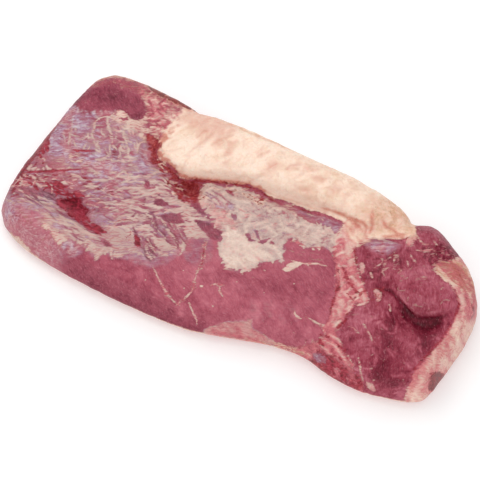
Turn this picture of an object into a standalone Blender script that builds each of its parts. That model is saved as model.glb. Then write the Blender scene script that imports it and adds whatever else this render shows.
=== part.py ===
"""A whole raw beef brisket, lying fat side down: flat, point, the seam of fat between them,
the ridge of hard fat along its back edge, and the fat cap that it rests on.

Metres, +Z up. +X runs from the thin flat end to the thick point end, +Y to the edge with the
hard fat. The origin is the middle of the footprint, on the surface that the cap rests on.
"""

import math

import bmesh
import bpy
import numpy as np
from mathutils import Vector

# Thickness of the meat and its layers
FLAT_END_HEIGHT = 0.044
MIDDLE_HEIGHT = 0.052
POINT_HEIGHT = 0.061
CAP_THICKNESS = 0.0115
CAP_WAVE = 0.0022
CAP_WAVE_LENGTHS = (0.260, 0.180)
HARD_FAT_HEIGHT = 0.076
GAP = 0.0004

# How the slumped edge is rounded: a small foot below the widest line, a wide shoulder above it
WIDEST_AT = 0.013
FOOT_RADIUS = 0.012
SHOULDER_RADIUS = 0.036
SHOULDER_POWER = 2.3

# Where the fat cap turns up and shows as a rim round the point end: y and x of its inner edge
RIM_EDGE = (
    (-0.110, 0.262),
    (-0.085, 0.250),
    (-0.066, 0.245),
    (-0.052, 0.243),
    (-0.040, 0.247),
    (-0.018, 0.253),
    (0.005, 0.255),
    (0.024, 0.254),
    (0.036, 0.248),
    (0.044, 0.238),
    (0.050, 0.224),
    (0.057, 0.215),
    (0.068, 0.221),
    (0.080, 0.228),
    (0.110, 0.232),
)
RIM_REACH = (-0.012, 0.012)
RIM_LIFT = 0.090

# The outline seen from above, counter-clockwise from the flat end's front corner
FRONT_SIDE = (
    (-0.210, -0.121),
    (-0.150, -0.126),
    (-0.080, -0.126),
    (-0.010, -0.121),
    (0.034, -0.109),
    (0.080, -0.094),
    (0.125, -0.087),
    (0.160, -0.093),
    (0.200, -0.093),
)
POINT_END = (
    (0.240, -0.082),
    (0.262, -0.071),
    (0.270, -0.030),
    (0.275, 0.015),
    (0.270, 0.053),
    (0.250, 0.083),
)
BACK_SIDE = (
    (0.218, 0.104),
    (0.187, 0.119),
    (0.160, 0.109),
    (0.135, 0.113),
    (0.095, 0.115),
    (0.030, 0.115),
    (-0.050, 0.118),
    (-0.110, 0.129),
    (-0.155, 0.135),
    (-0.200, 0.137),
)
FLAT_END = (
    (-0.239, 0.134),
    (-0.262, 0.113),
    (-0.269, 0.066),
    (-0.271, 0.005),
    (-0.272, -0.050),
    (-0.266, -0.089),
    (-0.246, -0.109),
)
BRISKET_OUTLINE = (FRONT_SIDE, POINT_END, BACK_SIDE, FLAT_END)

# The foot of the hard fat, seen from above, the same way round: front, right end, back, left end
HARD_FAT_FRONT = (
    (-0.132, 0.037),
    (-0.098, 0.027),
    (-0.066, 0.036),
    (-0.030, 0.050),
    (0.020, 0.057),
    (0.075, 0.065),
    (0.128, 0.064),
)
HARD_FAT_RIGHT = (
    (0.157, 0.074),
    (0.170, 0.092),
    (0.161, 0.108),
)
HARD_FAT_BACK = (
    (0.122, 0.118),
    (0.060, 0.119),
    (-0.020, 0.119),
    (-0.080, 0.121),
)
HARD_FAT_LEFT = (
    (-0.130, 0.116),
    (-0.148, 0.088),
    (-0.146, 0.058),
)
HARD_FAT_OUTLINE = (HARD_FAT_FRONT, HARD_FAT_RIGHT, HARD_FAT_BACK, HARD_FAT_LEFT)
HARD_FAT_WIDEST_AT = 0.040
HARD_FAT_FOOT_INSET, HARD_FAT_FOOT_Z = 0.0015, 0.004
HARD_FAT_SHOULDER = 0.026
HARD_FAT_TAPER_X = (-0.160, -0.040, 0.060, 0.185)
HARD_FAT_END_HEIGHTS = (0.054, 0.057)
HARD_FAT_RIPPLE = 0.0015
HARD_FAT_RIPPLE_LENGTHS = (0.100, 0.075)

# The seam's two edges where it shows on top, from the hard fat to the front
SEAM_FLAT_EDGE = (
    (0.100, 0.150),
    (0.102, 0.062),
    (0.104, 0.030),
    (0.116, 0.008),
    (0.129, -0.012),
    (0.137, -0.045),
    (0.141, -0.068),
    (0.128, -0.092),
    (0.118, -0.140),
)
SEAM_POINT_EDGE = (
    (0.137, 0.150),
    (0.126, 0.062),
    (0.124, 0.034),
    (0.134, 0.016),
    (0.152, -0.008),
    (0.153, -0.045),
    (0.158, -0.068),
    (0.174, -0.092),
    (0.186, -0.140),
)
SEAM_LEAN = 0.022
SEAM_FOOT_SHARE = 0.60
SEAM_TOP_Z, SEAM_SURFACE_Z, SEAM_FOOT_Z = 0.100, 0.055, -0.010

# How far the blocks reach that cut the layers apart, past the meat on every side
BLOCK_HALF_LENGTH, BLOCK_HALF_WIDTH = 0.300, 0.150
BLOCK_BOTTOM = -0.050

# Mounds and hollows of the top: x, y, half length, half width, turn in degrees, height
RELIEF = (
    # The flat
    (-0.200, -0.100, 0.075, 0.017, 2.0, 0.007),
    (-0.190, -0.066, 0.066, 0.013, -2.0, -0.011),
    (-0.183, -0.063, 0.018, 0.009, -12.0, -0.007),
    (-0.215, 0.030, 0.050, 0.035, 60.0, 0.003),
    (-0.200, 0.112, 0.070, 0.018, 4.0, 0.006),
    (-0.115, -0.020, 0.070, 0.035, 20.0, -0.003),
    (0.055, -0.066, 0.090, 0.034, 4.0, 0.007),
    (-0.060, -0.085, 0.060, 0.030, 10.0, 0.004),
    (0.060, 0.036, 0.060, 0.016, 5.0, -0.004),
    # The point
    (0.208, 0.036, 0.034, 0.024, -8.0, 0.009),
    (0.222, -0.004, 0.028, 0.014, 14.0, -0.017),
    (0.190, 0.006, 0.020, 0.010, -24.0, -0.008),
    (0.190, -0.050, 0.040, 0.030, 60.0, -0.007),
    (0.232, -0.048, 0.016, 0.040, 0.0, -0.006),
    (0.196, 0.080, 0.030, 0.018, -14.0, 0.008),
    (0.144, 0.052, 0.018, 0.012, 30.0, 0.004),
)

# Grooves of the top: the path, its half width and its depth
GROOVES = (
    # Beside the hard fat, deepest at its front corner
    (((-0.150, 0.062), (-0.138, 0.040), (-0.104, 0.029), (-0.078, 0.026)), 0.010, 0.011),
    (((-0.078, 0.026), (-0.030, 0.046), (0.015, 0.054), (0.060, 0.060)), 0.009, 0.007),
    (((-0.086, 0.024), (-0.066, 0.010)), 0.012, 0.008),
    # Along each edge of the seam
    (((0.104, 0.030), (0.129, -0.012), (0.138, -0.050), (0.132, -0.085)), 0.008, 0.004),
    (((0.126, 0.050), (0.134, 0.016), (0.153, -0.010), (0.155, -0.060)), 0.008, 0.005),
    # Where the hard fat ends on the point
    (((0.130, 0.060), (0.152, 0.068), (0.170, 0.082), (0.168, 0.100)), 0.006, 0.005),
)

# Mesh density: points along each side, points round each end, and rings from the edge inwards
MEAT_MESH = (46, 17, 15)
HARD_FAT_MESH = (26, 7, 7)
RING_CROWDING = 1.4
FOOT_RINGS = 3
CAP_GRID = (34, 17)
CAP_GRID_CROWDING = 0.30
SEAM_STATIONS = 16
FINE = 12

SHARP_ANGLE = math.radians(50)
ROUGHNESS = 0.45
LEAN_RED = (0.40, 0.10, 0.14, 1.0)
POINT_RED = (0.32, 0.06, 0.09, 1.0)
SEAM_PINK = (0.63, 0.28, 0.26, 1.0)
HARD_FAT_CREAM = (0.87, 0.64, 0.49, 1.0)
CAP_CREAM = (0.74, 0.46, 0.38, 1.0)


def smooth_step(low, high, value):
    """0 below low, 1 above high, and an even S between them."""
    share = np.clip((value - low) / (high - low), 0.0, 1.0)
    return share * share * (3.0 - 2.0 * share)


def spline(points, steps, closed):
    """Points along a smooth curve through the given ones, steps to each span."""
    given = np.array(points, float)
    if closed:
        padded = np.vstack([given[-1:], given, given[:2]])
    else:
        padded = np.vstack([2 * given[0] - given[1], given, 2 * given[-1] - given[-2]])
    spans = len(padded) - 3
    share = np.arange(steps)[:, None] / steps
    parts = []
    for i in range(spans):
        a, b, c, d = padded[i : i + 4]
        parts.append(
            b
            + 0.5 * share * (c - a)
            + share**2 * (a - 2.5 * b + 2 * c - 0.5 * d)
            + share**3 * (1.5 * (b - c) + 0.5 * (d - a))
        )
    if not closed:
        parts.append(given[-1:])
    return np.vstack(parts)


def evenly(path, count):
    """count points at even distances along a polyline, both ends included."""
    run = np.concatenate([[0], np.cumsum(np.linalg.norm(np.diff(path, axis=0), axis=1))])
    wanted = np.linspace(0, run[-1], count)
    return np.stack([np.interp(wanted, run, path[:, k]) for k in range(path.shape[1])], 1)


def distance_to(points, path):
    """How far each point lies from a polyline."""
    nearest = np.full(len(points), np.inf)
    for a, b in zip(path[:-1], path[1:]):
        along = b - a
        share = np.clip((points - a) @ along / max(along @ along, 1e-12), 0, 1)
        nearest = np.minimum(nearest, np.linalg.norm(points - a - share[:, None] * along, axis=1))
    return nearest


def inside(points, loop):
    """True for each point within a closed polyline."""
    hits = np.zeros(len(points), bool)
    for a, b in zip(loop, np.roll(loop, -1, axis=0)):
        crosses = (a[1] > points[:, 1]) != (b[1] > points[:, 1])
        rise = b[1] - a[1] if b[1] != a[1] else 1.0
        at = a[0] + (points[:, 1] - a[1]) / rise * (b[0] - a[0])
        hits ^= crosses & (points[:, 0] < at)
    return hits


def depth_in(points, loop):
    """Distance in from a closed outline, negative outside it."""
    closed = np.vstack([loop, loop[:1]])
    distance = distance_to(points, closed)
    return np.where(inside(points, loop), distance, -distance)


def mound(points, x, y, half_length, half_width, turn, height):
    """A rounded rise, or a hollow where height is negative."""
    angle = math.radians(turn)
    dx, dy = points[:, 0] - x, points[:, 1] - y
    along = (dx * math.cos(angle) + dy * math.sin(angle)) / half_length
    across = (dy * math.cos(angle) - dx * math.sin(angle)) / half_width
    return height * np.exp(-(along**2) - across**2)


def meat_height(points):
    """Height of the lean top over the resting surface, before its edge is rounded."""
    x = points[:, 0]
    height = FLAT_END_HEIGHT + (MIDDLE_HEIGHT - FLAT_END_HEIGHT) * smooth_step(-0.27, -0.04, x)
    height += (POINT_HEIGHT - MIDDLE_HEIGHT) * smooth_step(0.08, 0.20, x)
    for shape in RELIEF:
        height += mound(points, *shape)
    for path, half_width, depth in GROOVES:
        near = distance_to(points, spline(path, FINE, closed=False))
        height -= depth * np.exp(-((near / half_width) ** 2))
    return height


def hard_fat_height(points):
    """Height of the ridge's crown: full in its middle and lower at both ends."""
    start, full_from, full_to, end = HARD_FAT_TAPER_X
    low, high = HARD_FAT_END_HEIGHTS
    x, y = points[:, 0], points[:, 1]
    height = low + (HARD_FAT_HEIGHT - low) * smooth_step(start, full_from, x)
    height -= (HARD_FAT_HEIGHT - high) * smooth_step(full_to, end, x)
    along, across = (2 * math.pi / length for length in HARD_FAT_RIPPLE_LENGTHS)
    return height + HARD_FAT_RIPPLE * np.sin(along * x) * np.sin(across * y + 1.0)


def round_over(share, power):
    """Quarter of a superellipse: 0 at the edge, 1 from share 1 inwards."""
    return (1 - (1 - np.clip(share, 0, 1)) ** power) ** (1 / power)


def cap_height(points, gap):
    """Top of the fat cap under the lean. It turns up inside the point end, where its rim shows."""
    x, y = points[:, 0], points[:, 1]
    along, across = (2 * math.pi / length for length in CAP_WAVE_LENGTHS)
    waves = CAP_WAVE * (np.sin(along * x + 1.0) + 0.7 * np.sin(across * y - along * x / 2))
    edge = np.array(RIM_EDGE)
    past_edge = x - np.interp(y, edge[:, 0], edge[:, 1]) + gap
    return CAP_THICKNESS + gap + waves + RIM_LIFT * smooth_step(*RIM_REACH, past_edge)


def new_object(name, vertices, faces, colour):
    """A mesh object with its own material."""
    mesh = bpy.data.meshes.new(name)
    mesh.from_pydata([tuple(map(float, v)) for v in vertices], [], faces)
    mesh.validate()
    mesh.shade_smooth()
    mesh.set_sharp_from_angle(angle=SHARP_ANGLE)
    made = bpy.data.objects.new(name, mesh)
    bpy.context.scene.collection.objects.link(made)
    material = bpy.data.materials.new(name)
    material.use_nodes = True
    shader = material.node_tree.nodes["Principled BSDF"]
    shader.inputs["Base Color"].default_value = colour
    shader.inputs["Roughness"].default_value = ROUGHNESS
    mesh.materials.append(material)
    return made


def as_cutter(made):
    """Marks an object as a helper that cuts others and isn't part of the brisket."""
    made.hide_render = True
    made.display_type = "WIRE"
    return made


def boolean(target, operation, cutter):
    """Adds a live Boolean. EXACT loses the point where these shallow cuts meet, so it is MANIFOLD."""
    modifier = target.modifiers.new(f"{operation.lower()} {cutter.name}", "BOOLEAN")
    modifier.operation = operation
    modifier.solver = "MANIFOLD"
    modifier.object = cutter


def outline_runs(runs, grow=0.0):
    """A closed outline as four smooth runs (front, right, back, left), moved out by grow."""
    curve = spline([point for run in runs for point in run], FINE, closed=True)
    ahead = np.roll(curve, -1, axis=0) - np.roll(curve, 1, axis=0)
    curve += grow * np.stack([ahead[:, 1], -ahead[:, 0]], 1) / np.linalg.norm(ahead, axis=1)[:, None]
    front, right, back = (len(run) for run in runs[:3])
    back_starts = front + right
    corners = (0, front - 1, back_starts, back_starts + back - 1, len(curve) // FINE)
    ring = np.vstack([curve, curve[:1]])
    return [ring[a * FINE : b * FINE + 1] for a, b in zip(corners[:-1], corners[1:])]


def edge_and_middle(runs, side_points, end_points):
    """Edge points, a middle line, and the number of the middle point that each edge point faces."""
    front, right, back, left = runs
    front_edge = evenly(front, side_points)
    back_edge = evenly(back, side_points)
    right_edge = evenly(right, end_points)[1:-1]
    left_edge = evenly(left, end_points)[1:-1]
    middle = (front_edge + back_edge[::-1]) / 2
    facing = list(range(side_points))
    facing += [side_points - 1] * len(right_edge)
    facing += list(range(side_points - 1, -1, -1))
    facing += [0] * len(left_edge)
    return np.vstack([front_edge, right_edge, back_edge, left_edge]), middle, facing


def skin_between(first, second, count):
    """Quads that join two rings whose vertices start at first and second."""
    return [
        (first + j, first + (j + 1) % count, second + (j + 1) % count, second + j)
        for j in range(count)
    ]


def mound_body(name, runs, density, height_at, widest, shoulder, foot, colour):
    """A closed body that swells from its foot to its widest line and rounds over onto its top."""
    side_points, end_points, ring_count = density
    edge, middle, facing = edge_and_middle(runs, side_points, end_points)
    centres = middle[facing]
    count = len(edge)
    vertices, faces = [], []
    # Rings inwards from the edge, close together near it
    for k in range(ring_count):
        ring = edge + (1 - (1 - k / ring_count) ** RING_CROWDING) * (centres - edge)
        share = round_over(np.maximum(depth_in(ring, edge), 0) / shoulder, SHOULDER_POWER)
        z = widest + (height_at(ring) - widest) * (share if k else 0)
        vertices.extend(np.column_stack([ring, z]))
        if k:
            faces.extend(skin_between((k - 1) * count, k * count, count))
    # The last ring closes on the middle line
    inner, line = (ring_count - 1) * count, len(vertices)
    vertices.extend(np.column_stack([middle, height_at(middle)]))
    for j in range(count):
        k = (j + 1) % count
        a, b = line + facing[j], line + facing[k]
        faces.append((inner + j, inner + k, b, a) if a != b else (inner + j, inner + k, b))
    # The foot, wound the other way, and the flat underside
    inwards = (centres - edge) / np.linalg.norm(centres - edge, axis=1)[:, None]
    above = 0
    for inset, z in foot:
        below = len(vertices)
        vertices.extend(np.column_stack([edge + inset * inwards, np.full(count, z)]))
        faces.extend(face[::-1] for face in skin_between(above, below, count))
        above = below
    faces.append(tuple(range(above + count - 1, above - 1, -1)))
    return new_object(name, vertices, faces, colour)


def meat_body(name, colour):
    """The whole brisket but for the hard fat. Each layer is cut from a copy of it."""
    angles = [math.pi / 2 * k / FOOT_RINGS for k in range(1, FOOT_RINGS + 1)]
    foot = [(FOOT_RADIUS * (1 - math.cos(a)), WIDEST_AT * (1 - math.sin(a))) for a in angles]
    runs = outline_runs(BRISKET_OUTLINE)
    return mound_body(
        name, runs, MEAT_MESH, meat_height, WIDEST_AT, SHOULDER_RADIUS, foot, colour
    )


def hard_fat_body(name, grow, colour):
    """The ridge of hard fat, made larger by grow on every side. It reaches down into the cap."""
    runs = outline_runs(HARD_FAT_OUTLINE, grow)
    return mound_body(
        name,
        runs,
        HARD_FAT_MESH,
        lambda points: hard_fat_height(points) + grow,
        HARD_FAT_WIDEST_AT,
        HARD_FAT_SHOULDER,
        [(HARD_FAT_FOOT_INSET, HARD_FAT_FOOT_Z)],
        colour,
    )


def cap_block(name, gap, colour):
    """Everything below the cap's top surface, out past the outline."""
    across_x, across_y = CAP_GRID
    # Stations close up towards the point end, where the surface turns up
    share = np.linspace(0, 1, across_x)
    share += CAP_GRID_CROWDING * share * (1 - share)
    xs = BLOCK_HALF_LENGTH * (2 * share - 1)
    ys = np.linspace(-BLOCK_HALF_WIDTH, BLOCK_HALF_WIDTH, across_y)
    grid = np.array([(x, y) for x in xs for y in ys])
    vertices = list(np.column_stack([grid, cap_height(grid, gap)]))
    faces = []
    for i in range(across_x - 1):
        for j in range(across_y - 1):
            a = i * across_y + j
            b = a + across_y
            faces += [(a, b, b + 1), (a, b + 1, a + 1)]
    edge = [i * across_y for i in range(across_x)]
    edge += [(across_x - 1) * across_y + j for j in range(1, across_y)]
    edge += [i * across_y + across_y - 1 for i in range(across_x - 2, -1, -1)]
    edge += [j for j in range(across_y - 2, 0, -1)]
    start = len(vertices)
    vertices.extend((vertices[e][0], vertices[e][1], BLOCK_BOTTOM) for e in edge)
    for k, top in enumerate(edge):
        n = (k + 1) % len(edge)
        faces.append((top, start + k, start + n, edge[n]))
    faces.append(tuple(range(start + len(edge) - 1, start - 1, -1)))
    return new_object(name, vertices, faces, colour)


def prism(name, top, foot, colour):
    """A closed block between a polygon high up and its like low down."""
    count = len(top)
    vertices = [(x, y, SEAM_TOP_Z) for x, y in top] + [(x, y, SEAM_FOOT_Z) for x, y in foot]
    # The walls twist, so they are split into triangles here, alike in blocks that share a wall
    walls = [half for a, b, c, d in skin_between(0, count, count) for half in ((a, b, c), (a, c, d))]
    made = new_object(name, vertices, walls, colour)
    shape = bmesh.new()
    shape.from_mesh(made.data)
    bmesh.ops.holes_fill(shape, edges=shape.edges[:], sides=0)
    bmesh.ops.recalc_face_normals(shape, faces=shape.faces[:])
    shape.to_mesh(made.data)
    shape.free()
    return made


def seam_blocks():
    """Three blocks: the seam itself, and what cuts the point and the flat away on each side."""
    flat_line = evenly(spline(SEAM_FLAT_EDGE, FINE, closed=False), SEAM_STATIONS)
    point_line = evenly(spline(SEAM_POINT_EDGE, FINE, closed=False), SEAM_STATIONS)
    middle = (flat_line + point_line) / 2
    above = (SEAM_TOP_Z - SEAM_SURFACE_Z) / (SEAM_SURFACE_Z - SEAM_FOOT_Z)

    def wall(line, shift):
        """One wall at the top and at the foot, where the seam is thinner and lies under the flat."""
        foot = middle + SEAM_FOOT_SHARE * (line - middle) - (SEAM_LEAN, 0.0)
        foot[:, 1] = line[:, 1]
        top = line + above * (line - foot)
        return top + (shift, 0.0), foot + (shift, 0.0)

    def far_wall(line, x):
        """A straight wall at x, well outside the meat."""
        top = line * (0.0, 1.0) + (x, 0.0)
        return top, top

    def block(name, left, right):
        top = np.vstack([left[0], right[0][::-1]])
        foot = np.vstack([left[1], right[1][::-1]])
        return prism(name, top, foot, SEAM_PINK)

    seam = block("seam_block", wall(flat_line, 0.0), wall(point_line, 0.0))
    from_flat = block(
        "seam_and_point_block", wall(flat_line, -GAP), far_wall(point_line, BLOCK_HALF_LENGTH)
    )
    from_point = block(
        "seam_and_flat_block", far_wall(flat_line, -BLOCK_HALF_LENGTH), wall(point_line, GAP)
    )
    return seam, from_flat, from_point


def centre_on_origin(parts, everything):
    """Puts the middle of the footprint over the origin and the underside on z = 0."""
    bpy.context.view_layer.update()
    graph = bpy.context.evaluated_depsgraph_get()
    corners = [
        part.matrix_world @ Vector(corner)
        for part in parts
        for corner in part.evaluated_get(graph).bound_box
    ]
    low = Vector([min(c[k] for c in corners) for k in range(3)])
    high = Vector([max(c[k] for c in corners) for k in range(3)])
    shift = Vector((-(low.x + high.x) / 2, -(low.y + high.y) / 2, -low.z))
    whole = bpy.data.objects.new("brisket", None)
    bpy.context.scene.collection.objects.link(whole)
    for made in everything:
        made.parent = whole
    whole.location = shift


def build():
    for old in list(bpy.data.objects):
        bpy.data.objects.remove(old)

    flat = meat_body("flat_muscle", LEAN_RED)
    point = meat_body("point_muscle", POINT_RED)
    seam = meat_body("seam_fat", SEAM_PINK)
    cap = meat_body("fat_cap", CAP_CREAM)
    hard_fat = hard_fat_body("hard_fat", 0.0, HARD_FAT_CREAM)

    cap_cutter = as_cutter(cap_block("cap_block", 0.0, CAP_CREAM))
    cap_and_gap = as_cutter(cap_block("cap_block_and_gap", GAP, CAP_CREAM))
    hard_fat_and_gap = as_cutter(hard_fat_body("hard_fat_and_gap", GAP, HARD_FAT_CREAM))
    seam_block, from_flat, from_point = [as_cutter(made) for made in seam_blocks()]

    boolean(cap, "INTERSECT", cap_cutter)
    boolean(hard_fat, "DIFFERENCE", cap_and_gap)
    for lean in (flat, point, seam):
        boolean(lean, "DIFFERENCE", cap_and_gap)
    boolean(flat, "DIFFERENCE", from_flat)
    boolean(point, "DIFFERENCE", from_point)
    boolean(seam, "INTERSECT", seam_block)
    for lean in (flat, point, seam):
        boolean(lean, "DIFFERENCE", hard_fat_and_gap)

    parts = [flat, point, seam, cap, hard_fat]
    cutters = [cap_cutter, cap_and_gap, hard_fat_and_gap, seam_block, from_flat, from_point]
    centre_on_origin(parts, parts + cutters)


build()
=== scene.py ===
"""Looks of the whole raw beef brisket that lies fat side down.

The CAD solids are meshed as one fine skin, which is painted and given its relief as seen from
above, and then parted again into one closed piece for each solid. The painting is a set of
masks kept on the mesh: how much fat, membrane or blood there is at each place. The materials
turn those masks into colour, gloss and fine relief with their own noise.

Places on the brisket are given on its plan, in millimetres: X towards the point end and Y
towards the hard fat, as its top looks from the camera at the height of the lean. A path there
is a text of X,Y pairs, and a semicolon starts another path.
"""

import math

import bmesh
import bpy
import numpy as np
from mathutils import Matrix, Vector
from mathutils.bvhtree import BVHTree


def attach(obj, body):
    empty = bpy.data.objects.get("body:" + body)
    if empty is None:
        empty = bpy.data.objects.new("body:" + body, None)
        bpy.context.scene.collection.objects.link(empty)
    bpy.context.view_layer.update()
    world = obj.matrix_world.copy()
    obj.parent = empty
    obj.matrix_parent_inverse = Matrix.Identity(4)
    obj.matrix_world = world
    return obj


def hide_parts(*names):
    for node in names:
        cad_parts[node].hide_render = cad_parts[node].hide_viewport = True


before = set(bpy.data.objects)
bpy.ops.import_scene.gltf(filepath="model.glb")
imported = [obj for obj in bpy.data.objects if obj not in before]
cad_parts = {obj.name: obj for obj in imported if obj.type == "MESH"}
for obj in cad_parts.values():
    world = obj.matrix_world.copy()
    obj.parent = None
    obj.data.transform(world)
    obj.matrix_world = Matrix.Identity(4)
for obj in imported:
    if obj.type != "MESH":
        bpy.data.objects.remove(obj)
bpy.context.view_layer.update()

MM = 0.001

# The photograph's view
VIEW_TURN, VIEW_HEIGHT = math.radians(29), math.radians(60)
VIEW_DISTANCE = 1.5
VIEW_TARGET = Vector((-0.0014, -0.0052, 0.028))
LENS_MM, SENSOR_MM = 100, 36

# The studio: each lamp's name, power in watts, width, and place in metres
LAMPS = (("key", 6.5, 1.0, (-0.45, 0.35, 1.3)), ("fill", 3.6, 1.2, (0.5, -0.95, 0.75)))
SKY_STRENGTH, FLOOR_SIZE = 0.72, 30

# The plan: its origin in the frame, in millimetres, and the height at which it is drawn
PLAN_ORIGIN = (-1.4, -5.2)
PLAN_HEIGHT = 48.0

# Each CAD node, the piece that stands for it, its material slot, the turn of its fibres, and how
# much light spreads under its skin
PARTS = (
    ("flat_muscle", "flat_meat", "flat_lean", -32, 0.1),
    ("point_muscle", "point_meat", "point_lean", -62, 0.1),
    ("seam_fat", "seam_of_fat", "seam_fat", -32, 0.15),
    ("hard_fat", "hard_fat_ridge", "hard_fat", 0, 0.22),
    ("fat_cap", "fat_cap_layer", "fat_cap", 0, 0.2),
)
HARD_FAT, CAP = 3, 4

# Meshing
WELD = 1e-5
MEET = 0.0003
VOXEL = 0.0013
FACET_ROUNDS = 34
LABEL_ROUNDS = 4
FLOOR_HEIGHT = 9.0
FLOOR_GAP = 0.2
WALL_INSET = 2.0

# Painting
CURVE_STEPS = 5
SPECK, SPECK_WIDTH, SPECK_SOFT = np.array([[-0.3, 0], [0.3, 0]]), 2.0, 2.0
TAPER, FADE = 3, 6
SPARE_SPOTS = 6
NOISE_CELLS = 256
RAGGED_SIZE, RAGGED_REACH = 9.0, 5.0
WAVY_SIZE, WAVY_REACH = 5.0, 2.0
SHEET_TURN, LEAN_TURN = 29, -32

# What most of the top has of every mask
BARE = {
    "fat": 0,
    "film": 0,
    "blood": 0,
    "dark": 0.38,
    "warm": 0.35,
    "flush": 0.25,
    "tan": 0,
    "streak": 1,
    "marbling": 0.6,
    "rise": 0,
}

# Relief, in millimetres: how far fat, fibres, lean, lumps and waves lift the skin, and its sides
FAT_LIFT, FIBRE_LIFT, LEAN_LIFT, LUMP_LIFT, WAVE_LIFT = 0.45, 0.9, 0.7, 0.9, 1.8
SIDE_LUMPS, SIDE_WAVES = 0.8, 1.2

# Lean from its lightest to its deepest
FLAT_TONES = ("c16e7b", "b25c6b", "a54f5f", "944051", "7e2e40", "631a2a")
POINT_TONES = ("c1717d", "ab5565", "973c4d", "81273a", "6c1429", "500818")


def view_axes():
    """The camera's right, up and back directions."""
    tilt = Matrix.Rotation(math.pi / 2 - VIEW_HEIGHT, 3, "X")
    return [axis.copy() for axis in (Matrix.Rotation(VIEW_TURN, 3, "Z") @ tilt).col]


def smooth_step(low, high, value):
    """0 below low, 1 above high, and an even S between them."""
    share = np.clip((value - low) / (high - low), 0.0, 1.0)
    return share * share * (3.0 - 2.0 * share)


def noise(points, size, seed):
    """Smooth random values from 0 to 1 over the plan, in bumps about this size."""
    lattice = np.random.default_rng(seed).random((NOISE_CELLS, NOISE_CELLS))
    at = points / size + NOISE_CELLS
    cell = np.floor(at).astype(int)
    share = at - cell
    share = share * share * (3 - 2 * share)
    i, j = (cell % NOISE_CELLS).T
    next_i, next_j = (i + 1) % NOISE_CELLS, (j + 1) % NOISE_CELLS
    low = lattice[i, j] + (lattice[next_i, j] - lattice[i, j]) * share[:, 0]
    high = lattice[i, next_j] + (lattice[next_i, next_j] - lattice[i, next_j]) * share[:, 0]
    return low + (high - low) * share[:, 1]


def layered(points, size, seed, layers=3):
    """Noise with finer noise over it."""
    weights = [0.6**k for k in range(layers)]
    total = sum(w * noise(points, size / 2**k, seed + k) for k, w in enumerate(weights))
    return total / sum(weights)


def wandering(points, size, reach, seed):
    """How far each point is moved off its place to make edges ragged."""
    return reach * (np.stack([layered(points, size, seed + k, 4) for k in (0, 40)], 1) - 0.5)


def turned(points, degrees):
    """The points as seen along and across a direction on the plan."""
    angle = math.radians(degrees)
    cos, sin = math.cos(angle), math.sin(angle)
    return points @ np.array([[cos, -sin], [sin, cos]])


def places(text):
    """The points of a path, from its pairs of X and Y."""
    return np.array([pair.split(",") for pair in text.split()], float)


def spline(given, closed=False):
    """Points along a smooth curve through the given ones."""
    if closed:
        padded = np.vstack([given[-1:], given, given[:2]])
    else:
        padded = np.vstack([2 * given[0] - given[1], given, 2 * given[-1] - given[-2]])
    share = np.arange(CURVE_STEPS)[:, None] / CURVE_STEPS
    parts = [
        b
        + 0.5 * share * (c - a)
        + share**2 * (a - 2.5 * b + 2 * c - 0.5 * d)
        + share**3 * (1.5 * (b - c) + 0.5 * (d - a))
        for a, b, c, d in zip(padded[:-3], padded[1:-2], padded[2:-1], padded[3:])
    ]
    parts.append(given[:1] if closed else given[-1:])
    return np.vstack(parts)


def distance_to(points, path):
    """How far each point lies from a polyline."""
    nearest = np.full(len(points), np.inf)
    for a, b in zip(path[:-1], path[1:]):
        along = b - a
        share = np.clip((points - a) @ along / max(along @ along, 1e-9), 0, 1)
        away = points - a - share[:, None] * along
        nearest = np.minimum(nearest, np.hypot(away[:, 0], away[:, 1]))
    return nearest


def inside(points, loop):
    """True for each point within a closed polyline."""
    hits = np.zeros(len(points), bool)
    for a, b in zip(loop[:-1], loop[1:]):
        if a[1] != b[1]:
            crosses = (a[1] > points[:, 1]) != (b[1] > points[:, 1])
            at = a[0] + (points[:, 1] - a[1]) / (b[1] - a[1]) * (b[0] - a[0])
            hits ^= crosses & (points[:, 0] < at)
    return hits


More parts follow.
